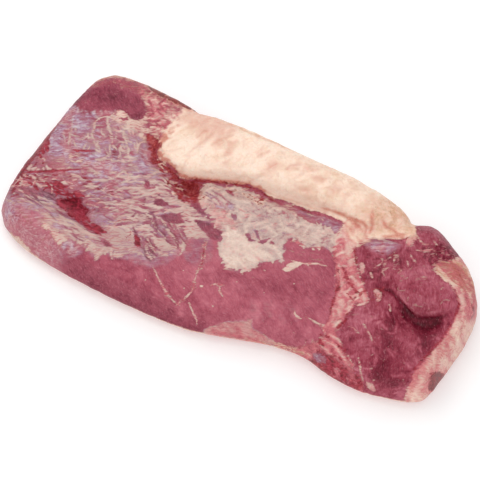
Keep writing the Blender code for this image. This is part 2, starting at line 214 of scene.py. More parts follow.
class Top:
    """The brisket's top as points on the plan, with a value at each point for every mask."""

    def __init__(self, plan, **masks):
        self.plan = plan
        self.wavy = plan + wandering(plan, WAVY_SIZE, WAVY_REACH, 17)
        self.ragged = self.wavy + wandering(plan, RAGGED_SIZE, RAGGED_REACH, 11)
        self.masks = {name: np.full(len(plan), float(value)) for name, value in masks.items()}

    def near(self, spots, path, reach):
        """The numbers of the spots close to a path."""
        low, high = path.min(axis=0) - reach, path.max(axis=0) + reach
        return np.flatnonzero(((spots > low) & (spots < high)).all(axis=1))

    def lay(self, chosen, cover, values):
        """Brings masks to new values where cover is 1."""
        for name, value in values.items():
            mask = self.masks[name]
            mask[chosen] += (value - mask[chosen]) * cover

    def patch(self, outlines, soft, **values):
        """Areas with a ragged edge that fades over soft millimetres."""
        for outline in outlines.split(";"):
            loop = spline(places(outline), closed=True)
            chosen = self.near(self.ragged, loop, soft)
            spots = self.ragged[chosen]
            depth = distance_to(spots, loop) * np.where(inside(spots, loop), 1, -1)
            self.lay(chosen, smooth_step(-soft / 2, soft / 2, depth), values)

    def line(self, paths, width, soft=2.0, **values):
        """Strokes along paths."""
        for path in paths.split(";"):
            self.stroke(places(path), width, soft, values)

    def stroke(self, points, width, soft, values):
        """A stroke through these points, which thins towards its ends."""
        curve = spline(points)
        chosen = self.near(self.wavy, curve, width + soft)
        spots = self.wavy[chosen]
        middle = (curve[0] + curve[-1]) / 2
        reach = max(np.hypot(*(curve - middle).T)) + width / 2
        share = np.clip(np.hypot(*(spots - middle).T) / reach, 0, 1)
        away = distance_to(spots, curve) - width / 2 * (1 - share**TAPER)
        cover = (1 - smooth_step(-soft / 2, soft / 2, away)) * (1 - share**FADE)
        self.lay(chosen, cover, values)

    def fringe(self, path, count, length, width, seed, soft=1.6, **values):
        """Short strokes across a path, which fray an edge."""
        random = np.random.default_rng(seed)
        curve = spline(places(path))
        for start in random.uniform(0, len(curve) - 1.001, count):
            number = int(start)
            step = curve[number + 1] - curve[number]
            spot = curve[number] + step * (start - number)
            angle = math.atan2(step[1], step[0]) + math.pi / 2 + random.normal(0, 0.9)
            half = length * random.uniform(0.2, 0.8) * np.array([math.cos(angle), math.sin(angle)])
            bend = half[::-1] * (1, -1) * random.normal(0, 0.25)
            points = np.array([spot - half, spot + bend, spot + half])
            self.stroke(points, width * random.uniform(0.6, 1.4), soft, values)

    def strew(self, outline, count, turn, length, width, seed, sway=20, soft=2.2, **values):
        """Short strokes strewn over an area, about this long and wide and along this turn."""
        random = np.random.default_rng(seed)
        loop = spline(places(outline), closed=True)
        spots = random.uniform(loop.min(axis=0), loop.max(axis=0), (SPARE_SPOTS * count, 2))
        for spot in spots[inside(spots, loop)][:count]:
            angle = math.radians(random.normal(turn, sway))
            along = np.array([math.cos(angle), math.sin(angle)])
            half = along * length * random.uniform(0.3, 0.7)
            bend = along[::-1] * (1, -1) * length * random.normal(0, 0.08)
            points = np.array([spot - half, spot + bend, spot + half])
            self.stroke(points, width * random.uniform(0.5, 1.5), soft, values)


def joined_solids():
    """All the CAD solids in one mesh, swollen a little so that they meet, and each face's node."""
    joined, owners = bmesh.new(), []
    for number, part in enumerate(PARTS):
        solid = bmesh.new()
        solid.from_mesh(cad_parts[part[0]].data)
        bmesh.ops.remove_doubles(solid, verts=solid.verts, dist=WELD)
        solid.normal_update()
        for vertex in solid.verts:
            vertex.co += vertex.normal * MEET
        mesh = bpy.data.meshes.new("solid")
        solid.to_mesh(mesh)
        solid.free()
        joined.from_mesh(mesh)
        bpy.data.meshes.remove(mesh)
        owners += [number] * (len(joined.faces) - len(owners))
    return joined, owners


def fine_mesh(joined):
    """The outside of the joined solids in even quads: points in millimetres, and faces."""
    mesh = bpy.data.meshes.new("skin")
    joined.to_mesh(mesh)
    skin = bpy.data.objects.new("skin", mesh)
    bpy.context.scene.collection.objects.link(skin)
    remesh = skin.modifiers.new("remesh", "REMESH")
    remesh.mode = "VOXEL"
    remesh.voxel_size = VOXEL
    graph = bpy.context.evaluated_depsgraph_get()
    made = bpy.data.meshes.new_from_object(skin.evaluated_get(graph))
    points = np.empty(len(made.vertices) * 3)
    made.vertices.foreach_get("co", points)
    faces = np.empty(len(made.loops), np.int32)
    made.loops.foreach_get("vertex_index", faces)
    bpy.data.objects.remove(skin)
    bpy.data.meshes.remove(made)
    bpy.data.meshes.remove(mesh)
    return points.reshape(-1, 3) / MM, faces.reshape(-1, 4)


def edges_of(faces):
    """Every edge once, as a pair of vertices."""
    ends = np.concatenate([faces[:, [k, (k + 1) % 4]] for k in range(4)])
    return np.unique(np.sort(ends, axis=1), axis=0)


def averaged(values, edges, rounds):
    """Values moved halfway to their neighbours' mean, again and again."""
    count = len(values)
    degree = np.bincount(edges.ravel(), minlength=count)
    first, second = edges.T
    for _ in range(rounds):
        means = [
            (np.bincount(first, row[second], count) + np.bincount(second, row[first], count)) / degree
            for row in values.T
        ]
        values = (values + np.stack(means, 1)) / 2
    return values


def normals_of(points, faces):
    """The vertex normals of a mesh of quads."""
    a, b, c, d = (points[faces[:, k]] for k in range(4))
    flat = np.cross(c - a, d - b)
    total = np.zeros_like(points)
    for k in range(4):
        for axis in range(3):
            total[:, axis] += np.bincount(faces[:, k], flat[:, axis], len(points))
    return total / np.linalg.norm(total, axis=1)[:, None]


def on_plan(points):
    """Where the line of sight through each point crosses the plan, in the plan's millimetres."""
    eye = np.array(VIEW_TARGET + VIEW_DISTANCE * view_axes()[2]) / MM
    share = (eye[2] - PLAN_HEIGHT) / (eye[2] - points[:, 2])
    return eye[:2] + (points[:, :2] - eye[:2]) * share[:, None] - PLAN_ORIGIN


def whole_skin():
    """The brisket's outside: points, faces, and how far each point belongs to each part."""
    joined, owners = joined_solids()
    tree = BVHTree.FromBMesh(joined)
    points, faces = fine_mesh(joined)
    joined.free()
    nearest = np.array([owners[tree.find_nearest(Vector(p) * MM)[2]] for p in points])
    edges = edges_of(faces)
    belongs = averaged(np.eye(len(PARTS))[nearest], edges, LABEL_ROUNDS)
    points = averaged(points, edges, FACET_ROUNDS)
    points[:, 2] -= points[:, 2].min()
    return points, faces, belongs


def build_piece(number, points, faces, normals):
    """One closed piece: its share of the skin, walls from its edge, and a floor, or the cap's lid."""
    name = PARTS[number][1]
    used = np.unique(faces)
    local = np.full(len(points), -1)
    local[used] = np.arange(len(used))
    quads = local[faces]
    ends = np.concatenate([quads[:, [k, (k + 1) % 4]] for k in range(4)])
    _, index, count = np.unique(np.sort(ends, axis=1), axis=0, return_inverse=True, return_counts=True)
    rim = ends[count[index.ravel()] == 1]
    # A second row of vertices along the edge, drawn in and brought to the height of the floor
    edge = np.unique(rim)
    low = points[used[edge]] - normals[used[edge]] * (WALL_INSET, WALL_INSET, 0)
    low[:, 2] = FLOOR_HEIGHT - FLOOR_GAP if number == CAP else FLOOR_HEIGHT + FLOOR_GAP
    below = np.full(len(used), -1)
    below[edge] = len(used) + np.arange(len(edge))
    walls = np.column_stack([rim[:, 1], rim[:, 0], below[rim[:, 0]], below[rim[:, 1]]])
    mesh = bpy.data.meshes.new(name)
    vertices = np.vstack([points[used], low]) * MM
    mesh.from_pydata(vertices.tolist(), [], quads.tolist() + walls.tolist())
    shape = bmesh.new()
    shape.from_mesh(mesh)
    shape.verts.ensure_lookup_table()
    floor_edges = [e for e in shape.edges if all(v.index >= len(used) for v in e.verts)]
    facing = (0, 0, 1 if number == CAP else -1)
    bmesh.ops.triangle_fill(
        shape, use_beauty=False, use_dissolve=False, edges=floor_edges, normal=facing
    )
    for e in floor_edges:
        e.smooth = False
    for e in shape.edges:
        if any(v.index < len(used) for v in e.verts) and len(e.link_faces) == 2:
            high = [all(v.index < len(used) for v in f.verts) for f in e.link_faces]
            e.smooth = high[0] == high[1]
    shape.to_mesh(mesh)
    shape.free()
    mesh.shade_smooth()
    return mesh, used, edge


def paint_lean(top):
    """How deep the red of the flat's lean is, with a painted sheen and a painted shade at its front."""
    for soft, dark, outline in (
        (60, 0.26, "-60,-20 60,-30 122,-20 130,-60 100,-85 40,-95 -30,-95"),
        # Lighter lean round the painted sheen
        (40, 0.2, "30,-55 80,-58 95,-72 60,-85 25,-80"),
        # Painted shade along the front edge, where the side turns away from the light
        (26, 0.58, "-160,-112 -90,-116 -20,-118 30,-112 60,-120 0,-150 -150,-150"),
        (16, 0.5, "-140,-105 -95,-90 -60,-90 -40,-110 -90,-125 -150,-122"),
        (14, 0.5, "-50,-40 -10,-44 10,-60 110,-40 118,-20 60,-34 -20,-60"),
        (10, 0.66, "-262,82 -250,88 -225,101 -195,106 -172,100 -160,78 -175,70 -213,70 -228,52 -262,36"),
    ):
        top.patch(outline, soft, dark=dark)
    # More painted shade along the lowest edge
    top.line("-120,-136 -59,-140 -33,-138 -7,-137 20,-132 44,-126", 6, soft=18, dark=0.78)
    # A painted sheen: lighter, pinker lean where light shines on its wet surface
    sheen = "50,-72 75,-55 96,-58 104,-72 84,-86 60,-86"
    top.patch(sheen, 26, dark=0.06)
    top.strew(sheen, 12, -32, 14, 4, 75, 20, soft=8, dark=0.0, film=0.2, warm=0.8)
    field = "-150,-108 -60,-84 0,-50 60,-24 124,-20 134,-50 118,-90 40,-100 -20,-120"
    top.strew(field, 60, -32, 26, 8, 71, 25, soft=9, dark=0.41)
    top.strew(field, 50, -32, 22, 6, 72, 25, soft=7, dark=0.2)
    top.strew(field, 130, -20, 4, 1.0, 73, 60, soft=1.4, fat=0.34, flush=0.5)
    corner = "-258,78 -225,97 -180,102 -165,82 -214,72 -230,56 -258,44"
    top.strew(corner, 26, 20, 14, 1.6, 74, 20, soft=2, fat=0.32, flush=0.6)


def paint_sheet(top):
    """The membrane and thin fat over the back and left of the flat."""
    top.patch("-262,42 -240,47 -222,56 -214,64 -190,66 -150,62 -140,45 -132,34 -105,26 -80,14 -62,14 -60,2 "
        "-30,-4 -20,-22 -42,-36 -38,-50 -45,-57 -55,-65 -65,-78 -80,-82 -95,-85 -100,-93 -118,-96 -140,-98 "
        "-163,-102 -205,-101 -225,-102 -262,-100", 8, fat=0.42, film=0.8, dark=0.42, warm=0.15, flush=0.22)
    for fat, film, warm, soft, outline in (
        (0.16, 1.0, 0.2, 12, "-260,44 -236,47 -218,52 -216,20 -224,-8 -244,-14 -260,-4"),
        (0.24, 1.0, 0.2, 12, "-204,4 -186,8 -166,6 -150,3 -148,-8 -166,-17 -188,-18 -200,-10"),
        (0.08, 1.0, 0.2, 5, "-147,44 -140,40 -131,33 -124,27 -136,23 -146,27"),
        (0.42, 0.4, 0.2, 12, "-222,50 -200,54 -182,46 -165,30 -160,20 -185,16 -214,20 -222,34"),
        (0.62, 0.3, 0.3, 10, "-232,-14 -205,-20 -180,-24 -170,-34 -200,-42 -226,-36"),
        (0.78, 0.0, 0.5, 5, "-221,-5 -212,2 -202,-1 -205,-10 -216,-13"),
        (0.64, 0.3, 0.2, 14, "-150,-22 -128,8 -100,14 -74,8 -45,12 -18,0 -22,-28 -50,-36 -90,-44 -130,-46"),
        (0.72, 0.5, 0.2, 10, "-150,-77 -132,-62 -125,-48 -100,-50 -88,-44 -66,-52 -52,-58 -62,-76 -80,-83 "
            "-95,-85 -100,-93 -118,-96 -128,-106 -142,-98 -165,-102 -192,-98 -200,-86 -175,-80"),
        (0.88, 0.2, 0.25, 8, "-60,-4 -44,-14 -34,-22 -22,-30 -34,-37 -42,-50 -56,-56 -72,-60 -82,-58 "
            "-62,-44 -52,-34 -70,-28 -78,-10"),
        (0.8, 0.3, 0.3, 6, "-160,-100 -150,-97 -120,-95 -122,-110 -130,-101 -140,-100 -160,-116 -170,-112 "
            "-176,-102"),
        (0.62, 0.5, 0.3, 6, "-178,-98 -169,-94 -156,-104 -161,-114 -173,-109"),
        (0.8, 0.1, 0.5, 7, "-216,62 -204,66 -190,72 -172,76 -158,70 -142,76 -140,62 -152,57 -170,60 "
            "-196,60"),
        (1.1, 0.0, 0.7, 5, "-208,72 -204,75 -195,74 -191,68 -198,65 -206,66"),
    ):
        top.patch(outline, soft, fat=fat, film=film, warm=warm)
    bloody = "-260,-18 -235,-18 -205,-30 -150,-38 -140,-52 -165,-62 -200,-58 -230,-80 -260,-84"
    top.patch(bloody, 14, fat=0.45, film=0.3, blood=0.2, dark=0.5, flush=0.6)
    corner = "-177,106 -140,108 -118,100 -140,84 -146,72 -166,80 -176,88"
    top.patch(corner, 8, fat=0.5, film=0.1, flush=0.8, warm=0.5)


def paint_sheet_strokes(top):
    """Cream fibres, red gaps and lilac film over the sheet, which lie differently in each part."""
    band = "-261,30 -224,54 -210,43 -202,12 -222,-3 -249,-14 -260,-8"
    ladder = "-227,52 -192,69 -153,39 -157,18 -189,9 -213,38"
    left = "-262,-2 -242,-10 -230,-43 -254,-58 -262,-28"
    blue = "-212,3 -151,24 -131,12 -152,-7 -183,-22 -213,-18"
    bloody = "-259,-55 -205,-18 -173,-16 -151,-30 -177,-52 -214,-57 -248,-84"
    middle = "-188,-24 -109,32 -62,12 -30,-10 -60,-40 -104,-64 -147,-58"
    front = "-248,-98 -240,-79 -203,-63 -152,-71 -122,-88 -163,-96 -214,-99"
    cream = {"fat": 1.1, "blood": 0, "flush": 0.1, "warm": 0.2, "marbling": 1}
    red = {"fat": 0.05, "film": 0.1, "dark": 0.5}
    for number, (outline, count, turn, length, width, sway, values) in enumerate((
        (band, 16, 29, 14, 3, 20, {"fat": 0.1, "film": 0.5}),
        (band, 10, -50, 12, 1.5, 12, cream),
        (band, 10, 20, 12, 1.2, 12, cream),
        (ladder, 30, 20, 9, 2.6, 30, red),
        (ladder, 14, 29, 10, 3, 20, {"fat": 0.2, "film": 1}),
        (ladder, 30, -40, 15, 1.8, 22, cream),
        (ladder, 14, 20, 10, 1.8, 30, cream),
        (left, 16, 20, 9, 1.8, 50, {"fat": 0, "film": 0.1, "blood": 0.6}),
        (left, 30, 20, 7, 2.2, 50, cream),
        (blue, 14, 20, 10, 2, 15, red),
        (blue, 30, 20, 14, 1.2, 12, cream),
        (blue, 20, 24, 12, 2.2, 12, {"fat": 0.1, "film": 1}),
        (bloody, 34, 22, 10, 2, 20, {"fat": 0, "film": 0.1, "blood": 0.6}),
        (bloody, 44, 20, 8, 2.0, 25, cream),
        (bloody, 20, 20, 10, 2, 20, {"fat": 0.2, "film": 1, "blood": 0}),
        (middle, 50, 24, 9, 2.6, 15, {"fat": 0.2, "film": 0.9}),
        (middle, 110, 22, 9, 1.8, 18, red),
        (middle, 60, 22, 7, 2.0, 25, {"fat": 0.05, "dark": 0.75, "flush": 0.7}),
        (middle, 170, 22, 14, 1.7, 16, cream),
        (front, 50, 0, 16, 1.4, 7, {"fat": 0.2, "film": 0.9}),
        (front, 60, 0, 22, 1.5, 7, cream),
        (front, 20, 0, 16, 1.1, 7, {"fat": 0.2, "film": 0.2, "dark": 0.7}),
    )):
        top.strew(outline, count, turn, length, width, 100 + number, sway, **values)
    # Curls and single fibres
    top.line("-214,36 -219,46 -218,53 -213,59 -208,64; -155,35 -158,46 -153,52; -206,74 -198,76 -190,72; "
        "-192,64 -184,68 -176,66; -186,60 -176,62 -168,58", 2.2, fat=1.1, warm=0.4)
    top.fringe("-214,66 -200,64 -186,60 -170,56 -156,56", 18, 7, 1.8, 135, soft=2.4, fat=1.1, warm=0.4)
    top.fringe("-262,52 -244,51 -228,57 -214,66 -204,70", 18, 7, 2.4, 136, soft=4, film=1, fat=0.1)
    top.line("-238,32 -230,22; -219,50 -216,40 -213,30; -180,40 -172,34 -166,26; -198,52 -190,46 -184,36; "
        "-236,18 -228,8; -200,-14 -192,-22; -252,26 -244,30; -246,40 -238,26 -234,18", 1.6, fat=0.8,
        warm=0.25)
    # The lower edge frays into curls of fat and film over the lean
    hem = "-40,-42 -44,-56 -56,-66 -66,-78 -82,-83 -97,-90 -118,-97 -140,-100 -162,-105 -180,-103"
    top.fringe(hem, 36, 9, 2.6, 132, soft=4, fat=0.05, film=0.6, dark=0.4)
    top.fringe(hem, 32, 8, 2.4, 133, soft=3, fat=1.0, film=0.3, warm=0.25)
    # Dark fibres at the left end
    top.strew("-256,-86 -240,-66 -200,-60 -190,-66 -215,-74 -240,-88", 26, 4, 22, 0.9, 131, 8, soft=1.6,
        fat=0.2, film=0.2, dark=1.0, blood=0)


def paint_windows(top):
    """Bare lean that shows through gaps in the sheet, and the fibres drawn across some of them."""
    top.patch("-104,-13 -98,-8 -88,-7 -90,-12 -99,-16; -87,-25 -80,-18 -70,-16 -60,-19 -66,-25 -73,-28 "
        "-83,-29; -65,7 -54,9 -42,2 -48,-1 -57,1; -50,-12 -40,-8 -28,-8 -16,-12 -10,-18 -20,-25 -31,-21 "
        "-43,-17; -127,6 -120,5 -116,2 -124,0; -128,-84 -120,-83 -115,-86 -122,-88", 3, fat=0, film=0.1,
        dark=0.72, flush=0)
    combed = "-95,-37 -82,-31 -64,-28 -50,-35 -46,-43 -56,-52 -73,-49 -86,-45"
    low = "-99,-62 -87,-57 -75,-60 -67,-73 -76,-79 -90,-72"
    for seed, outline in ((141, combed), (142, low)):
        top.patch(outline, 4, fat=0.15, film=0.45, dark=0.6)
        top.strew(outline, 12, -30, 22, 1.6, seed, 5, fat=0, film=0.1, dark=0.9)
        top.strew(outline, 14, -30, 24, 1.1, seed + 2, 4, soft=1.6, fat=0.85, warm=0.3)
    top.patch("-44,-38 -34,-31 -24,-28 -14,-34 -11,-50 -20,-62 -36,-60 -42,-48", 6, fat=0.06, film=0.3,
        dark=0.44)
    top.patch("-92,-84 -78,-84 -66,-80 -56,-66 -46,-60 -50,-74 -64,-88 -80,-92 -96,-92", 6, fat=0.15,
        film=0.36)
    top.patch("-100,-62 -94,-62 -87,-71 -91,-73 -96,-68", 2, blood=0.9, fat=0)
    top.line("-128,-67 -125,-55 -118,-49 -107,-46 -96,-43; -107,-58 -104,-63 -106,-70 -100,-74 -94,-70; "
        "-140,-76 -132,-68", 1.1, blood=0.9)


def paint_cuts(top):
    """Slits, streaks of blood and the pool on the flat."""
    crimson = {"fat": 0, "film": 0, "blood": 0.9, "warm": 0.2}
    top.line("-223,0 -212,5 -197,13", 3.0, **crimson)
    top.line("-257,-58 -247,-48 -228,-36 -204,-20 -188,-10", 2.6, **crimson)
    tail = "-197,-66 -175,-62 -155,-68 -140,-70 -130,-75 -140,-79 -158,-79 -176,-75"
    pool = "-203,-64 -191,-59 -179,-49 -173,-55 -162,-59 -162,-69 -178,-70 -191,-70"
    deep = "-196,-62 -186,-58 -180,-53 -177,-58 -172,-62 -186,-66"
    top.patch(tail, 8, fat=0.4, film=0, blood=0.25, rise=-1)
    top.strew(tail, 20, -12, 12, 2, 150, 16, soft=3, **crimson)
    top.patch(pool, 7, fat=0.05, film=0, blood=0.78, warm=0, dark=0.75, rise=-2)
    top.patch(deep, 6, fat=0, blood=1, warm=0, dark=1.0, rise=-3)
    top.strew(pool, 14, -20, 12, 2, 156, 15, fat=0.1, blood=0.6, dark=0.4)
    top.strew("-206,-58 -192,-48 -178,-44 -174,-50 -190,-58", 12, 20, 9, 2, 151, 15, **crimson)
    left = "-256,-60 -225,-42 -205,-42 -205,-56 -230,-62 -256,-76"
    top.strew(left, 24, 10, 12, 1.8, 152, 24, **crimson)
    top.strew(left, 24, 10, 10, 1.8, 159, 30, blood=0, fat=1.1, flush=0.4, warm=0.3)
    top.strew("-262,6 -252,2 -248,-8 -250,-30 -262,-30", 14, -60, 9, 3, 153, 20, **crimson)
    top.patch("-211,-45 -205,-44 -203,-48 -209,-50", 3, **crimson)
    top.patch("-181,24 -174,24 -172,17 -178,14", 5, fat=0.1, blood=0.4, dark=0.7)
    # The crevice along the hard fat
    rust = {"film": 0, "warm": 0.9}
    top.patch("-158,58 -146,63 -136,56 -129,40 -112,36 -98,31 -84,30 -70,35 -64,24 -60,10 -76,8 -92,18 "
        "-110,27 -130,30 -139,44 -148,52", 14, blood=0.56, fat=0.4, dark=0.45, **rust)
    top.patch("-95,20 -84,27 -72,27 -65,16 -66,9 -78,9 -90,14", 10, blood=0.88, fat=0.1, dark=0.5, **rust)
    top.patch("-150,54 -143,59 -137,50 -134,40 -140,42", 9, blood=0.9, fat=0, dark=0.55, **rust)
    top.line("-136,42 -124,34 -110,31 -98,26", 3, soft=7, blood=0.9, fat=0, dark=0.6, **rust)
    top.line("-80,31 -58,42 -40,49 -20,55", 2.6, soft=6, blood=0.85, fat=0, **rust)
    top.line("-34,52 -14,56 4,55 18,53", 1.8, soft=5, blood=0.75, fat=0, **rust)
    top.line("4,52 22,54 38,54; 2,55 18,57 34,57; 30,55 58,60 88,64", 1.2, soft=3, blood=0.6, **rust)
    fringe = "-112,24 -96,16 -76,4 -58,6 -52,16 -62,30 -50,42 -20,50 6,50 0,42 -30,42 -56,30 -64,4 -96,10"
    top.strew(fringe, 30, 10, 12, 1.2, 154, 25, soft=3, blood=0.6, **rust)
    top.strew("-132,36 -110,26 -90,14 -70,8 -76,14 -100,24 -124,36", 14, 15, 12, 1.6, 155, 20, soft=3,
        fat=0.9, blood=0)
    bank = "-153,60 -144,50 -136,36 -118,27 -100,20 -84,8 -66,6"
    top.fringe(bank, 26, 8, 2, 157, soft=5, blood=0.75, fat=0.1, **rust)


def paint_centre(top):
    """The patch of fat on the middle of the flat, with its bright lobe and its flecks of lean."""
    outline = (
        "-62,14 -66,32 -44,44 -24,50 4,50 40,50 60,49 84,50 92,46 104,40 106,26 96,24 86,26 74,16 62,20 "
        "52,16 54,4 64,-3 60,-12 48,-18 40,-24 34,-36 27,-44 12,-45 3,-45 -8,-33 -14,-20 -12,-10 "
        "-22,-5 -44,2"
    )
    top.patch(outline, 7, fat=0.98, film=0.3, warm=0.08, flush=0.08, streak=0.3, dark=0.45, marbling=0.8)
    top.patch("-12,-8 4,-2 20,-8 38,-6 44,-14 36,-30 26,-42 8,-44 -4,-34 -12,-20", 14, warm=0.34, fat=1.3,
        flush=0.14, marbling=0.5, streak=0.15)
    top.patch("-58,12 -40,18 -16,12 -4,0 -14,-8 -30,-3 -50,3", 12, warm=0.3, flush=0.35)
    top.patch("50,34 64,40 82,42 98,38 98,28 80,24 62,24", 12, warm=0.2, fat=1.0)
    closed = outline + " -62,14"
    top.fringe(closed, 60, 5, 1.8, 86, soft=2.4, fat=0.05, film=0.2, dark=0.4, flush=0)
    top.fringe(closed, 50, 5, 1.8, 87, soft=2.4, fat=1.1)
    upper = "-62,14 -66,32 -24,50 40,50 84,50 104,38 96,24 52,16 30,8 -20,0"
    lobe = "-18,-4 10,0 50,2 58,-8 34,-30 20,-44 4,-44 -12,-20"
    for number, (area, count, length, width, soft, values) in enumerate((
        (upper, 30, 20, 6, 9, {"fat": 0.72, "film": 0.6}),
        (upper, 40, 22, 2.4, 4, {"warm": 0.3, "fat": 1.25}),
        (upper, 44, 12, 1.4, 3, {"fat": 0.5, "dark": 0.5}),
        (upper, 20, 9, 1.4, 4, {"flush": 0.6}),
        (lobe, 14, 16, 5, 9, {"warm": 0.1, "flush": 0.25}),
        (lobe, 20, 18, 2.4, 6, {"warm": 0.5, "flush": 0, "fat": 1.3}),
        (lobe, 10, 8, 1.4, 4, {"flush": 0.4}),
    )):
        top.strew(area, count, 30, length, width, 161 + number, 50, soft=soft, **values)
    # The lobe's fibres run round its middle
    top.line("-6,-18 6,-12 22,-14 34,-20; 0,-28 12,-22 24,-24 30,-32; 2,-38 14,-33 26,-38; -10,-10 2,-6 "
        "16,-9; 30,-12 42,-12 50,-14", 3, soft=7, fat=1.35, warm=0.5, flush=0)
    top.strew("-56,22 -40,32 -16,28 -20,20 -44,16", 16, -10, 13, 1.6, 170, 8, fat=0.25, film=0.9, dark=0.6)
    top.patch("6,0 10,2 15,-2 22,-3 16,-7 9,-4; 13,8 17,8 21,4 26,1 20,1; 24,-3 28,2 32,6 34,10 33,3 "
        "28,-4; 35,3 39,5 42,3 38,1; -20,17 -13,16 -11,9 -16,11; -42,38 -34,36 -28,38 -34,40", 3, fat=0.12,
        film=0.3, dark=0.6, flush=0)
    # Lean between the patch and the seam
    bare = "52,12 54,18 60,20 66,18 71,14 76,15 83,22 90,25 104,24 108,14 100,8 88,2 76,-3 62,-8 55,-4 57,4"
    top.patch(bare, 4, fat=0, film=0, dark=0.36, flush=0)
    top.strew(bare, 20, 10, 12, 1.4, 171, 15, fat=0.6, flush=0.9)
    top.fringe("54,18 66,18 76,15 90,25 104,24", 14, 6, 1.8, 88, soft=2.4, fat=1.1, warm=0.3)
    # Membrane under the hard fat
    gap = "34,54 50,57 66,59 82,62 94,63 103,59 108,51 104,43 95,45 85,50 70,49 55,50 44,51"
    top.patch(gap, 5, fat=0.1, film=0.6, dark=0.5, flush=0)
    top.strew(gap, 20, 10, 16, 1.4, 172, 10, fat=0, film=0.3, dark=0.6)
    top.strew(gap, 8, 10, 14, 1.0, 173, 12, fat=0.75, warm=0.3)
    top.fringe("108,50 104,43 95,45 85,50 70,49", 24, 9, 1.6, 89, soft=2.4, fat=1.1, warm=0.2)
    # A strip of fat that lies loose on the lean
    top.patch("64,-20 67,-10 76,-3 81,-5 76,-12 71,-20", 3, fat=1, warm=0.5, flush=0.05)
    top.line("62,-6 76,-4 84,-1 92,3 108,8", 2.2, soft=2.4, fat=1.2, warm=0.5)
    top.line("84,-1 89,-4 95,-4", 1.6, soft=2, fat=1.1)


def paint_veins(top):
    """Veins and specks of fat on the flat's bare lean."""
    vein = {"fat": 1.5, "warm": 0.35, "flush": 0.5, "streak": 0.2}
    for width, paths in (
        (1.8, "-65,-79 -60,-87 -49,-95 -41,-101 -29,-108 -19,-112 -4,-114; -16,-65 -13,-78 -9,-87 -10,-97 "
            "-13,-107 -15,-119; 14,-70 17,-77 25,-82"),
        (1.6, "-8,-101 1,-110 12,-118 18,-126; 99,-58 102,-62 111,-64; 114,-59 125,-60 133,-59 143,-63"),
        (1.9, "5,-77 8,-72 13,-70 19,-68"),
    ):
        top.line(paths, width, soft=2.6, **vein)
    # The ends and twigs of the veins are faint and red
    faint = {"fat": 0.9, "flush": 0.9, "warm": 0.2}
    top.fringe("-49,-95 -29,-108 -12,-113", 9, 6, 1.0, 81, **faint)
    top.fringe("-13,-78 -9,-90 -13,-107", 12, 7, 1.0, 82, **faint)
    top.fringe("5,-76 13,-70 19,-70 20,-80", 10, 7, 1.1, 83, **faint)
    top.fringe("99,-59 125,-60 143,-63", 10, 6, 1.0, 84, **faint)
    red = "-28,-29 -22,-43 -17,-55 -15,-66"
    top.line(red, 3.4, soft=4, fat=0.7, flush=1, warm=0.2, film=0)
    top.line(red, 1.4, soft=2.4, blood=0.8, warm=0.1)
    top.fringe(red, 16, 8, 1.2, 85, fat=1.0, flush=0.5)
    specks = places("-18,-92 28,-58 48,-30 118,0 -30,-74 60,-56 20,-96 -60,-104 84,-30")
    for speck in specks:
        top.stroke(speck + SPECK, SPECK_WIDTH, SPECK_SOFT, vein)
    top.line("-3.6,-81 -2.6,-81", 3.6, fat=1.1, warm=0.5, flush=0.1)


def paint_front(top):
    """Membrane along the front edge of the flat, and the cap's edge under it."""
    roll = "-262,-99 -240,-95 -225,-88 -207,-92 -188,-101 -170,-112 -158,-128 -160,-142 -215,-140 -262,-118"
    top.patch(roll, 34, film=0.7, fat=0.2, dark=0.14, flush=0.7, warm=0.68, streak=0.8)
    top.strew(roll, 40, -14, 20, 2, 181, 12, soft=4, film=0.8, fat=0.3, flush=0.6)
    top.strew(roll, 40, -14, 20, 2, 182, 12, soft=4, film=0.3, fat=0.1, dark=0.16)
    top.patch("-241,-102 -234,-99 -226,-104 -225,-113 -236,-113", 12, film=0.9, fat=0, warm=0.2)
    top.line("-236,-110 -229,-104 -219,-103", 1.6, soft=3, blood=0.7)
    # A low band of lilac between the sheet and the lean, and creamy ends of the sheet
    top.patch("-164,-107 -152,-102 -138,-108 -149,-118 -160,-116", 8, film=0.9, fat=0.1)
    cream = {"fat": 1.0, "film": 0, "flush": 0.25}
    top.patch("-186,-101 -178,-99 -163,-103 -165,-114 -174,-110; -198,-97 -190,-96 -186,-101 -194,-103", 5,
        **cream)
    # Thin membrane on the lower side
    patch = "26,-124 37,-110 48,-102 60,-93 65,-90 70,-97 82,-99 98,-105 76,-112 60,-118 44,-124 32,-130"
    top.patch(patch, 4, film=0.9, fat=1.0, dark=0.1, flush=0.42, warm=0.3, streak=0.4, marbling=0)
    top.line("28,-126 44,-120 62,-114 86,-108", 4, soft=8, flush=0.75)
    top.strew(patch, 14, -25, 18, 2.4, 183, 12, soft=6, flush=0.6)
    # The cap's edge shows under the lean
    wedge = (
        "-226,-127 -218,-126 -206,-126 -196,-130 -184,-134 -168,-138 -158,-143 -176,-146 -206,-142 "
        "-226,-134"
    )
    top.patch(wedge, 5, fat=1.15, film=0, warm=0.35, tan=0.25, flush=0.15, streak=0.6)
    edge = "50,-126 74,-118 97,-113 118,-110; 66,-114 82,-110 98,-109; 97,-110 118,-107 136,-104 152,-103"
    top.line(edge, 4, soft=5, fat=0.9, film=0, warm=0.8, tan=1, flush=0.6, dark=0.9, streak=0.8, marbling=1)
    top.strew("94,-104 118,-100 140,-99 128,-104 106,-108", 16, 6, 16, 1.4, 185, 8, soft=3, fat=1,
        flush=0.4, tan=0.4)
    # A dark red line along the left end: painted shade at its edge, in the red of blood
    top.line("-258,50 -257,30 -256,-3 -256,-34 -254,-60 -247,-91", 4, soft=5, fat=0, film=0, blood=0.9,
        dark=0.9)


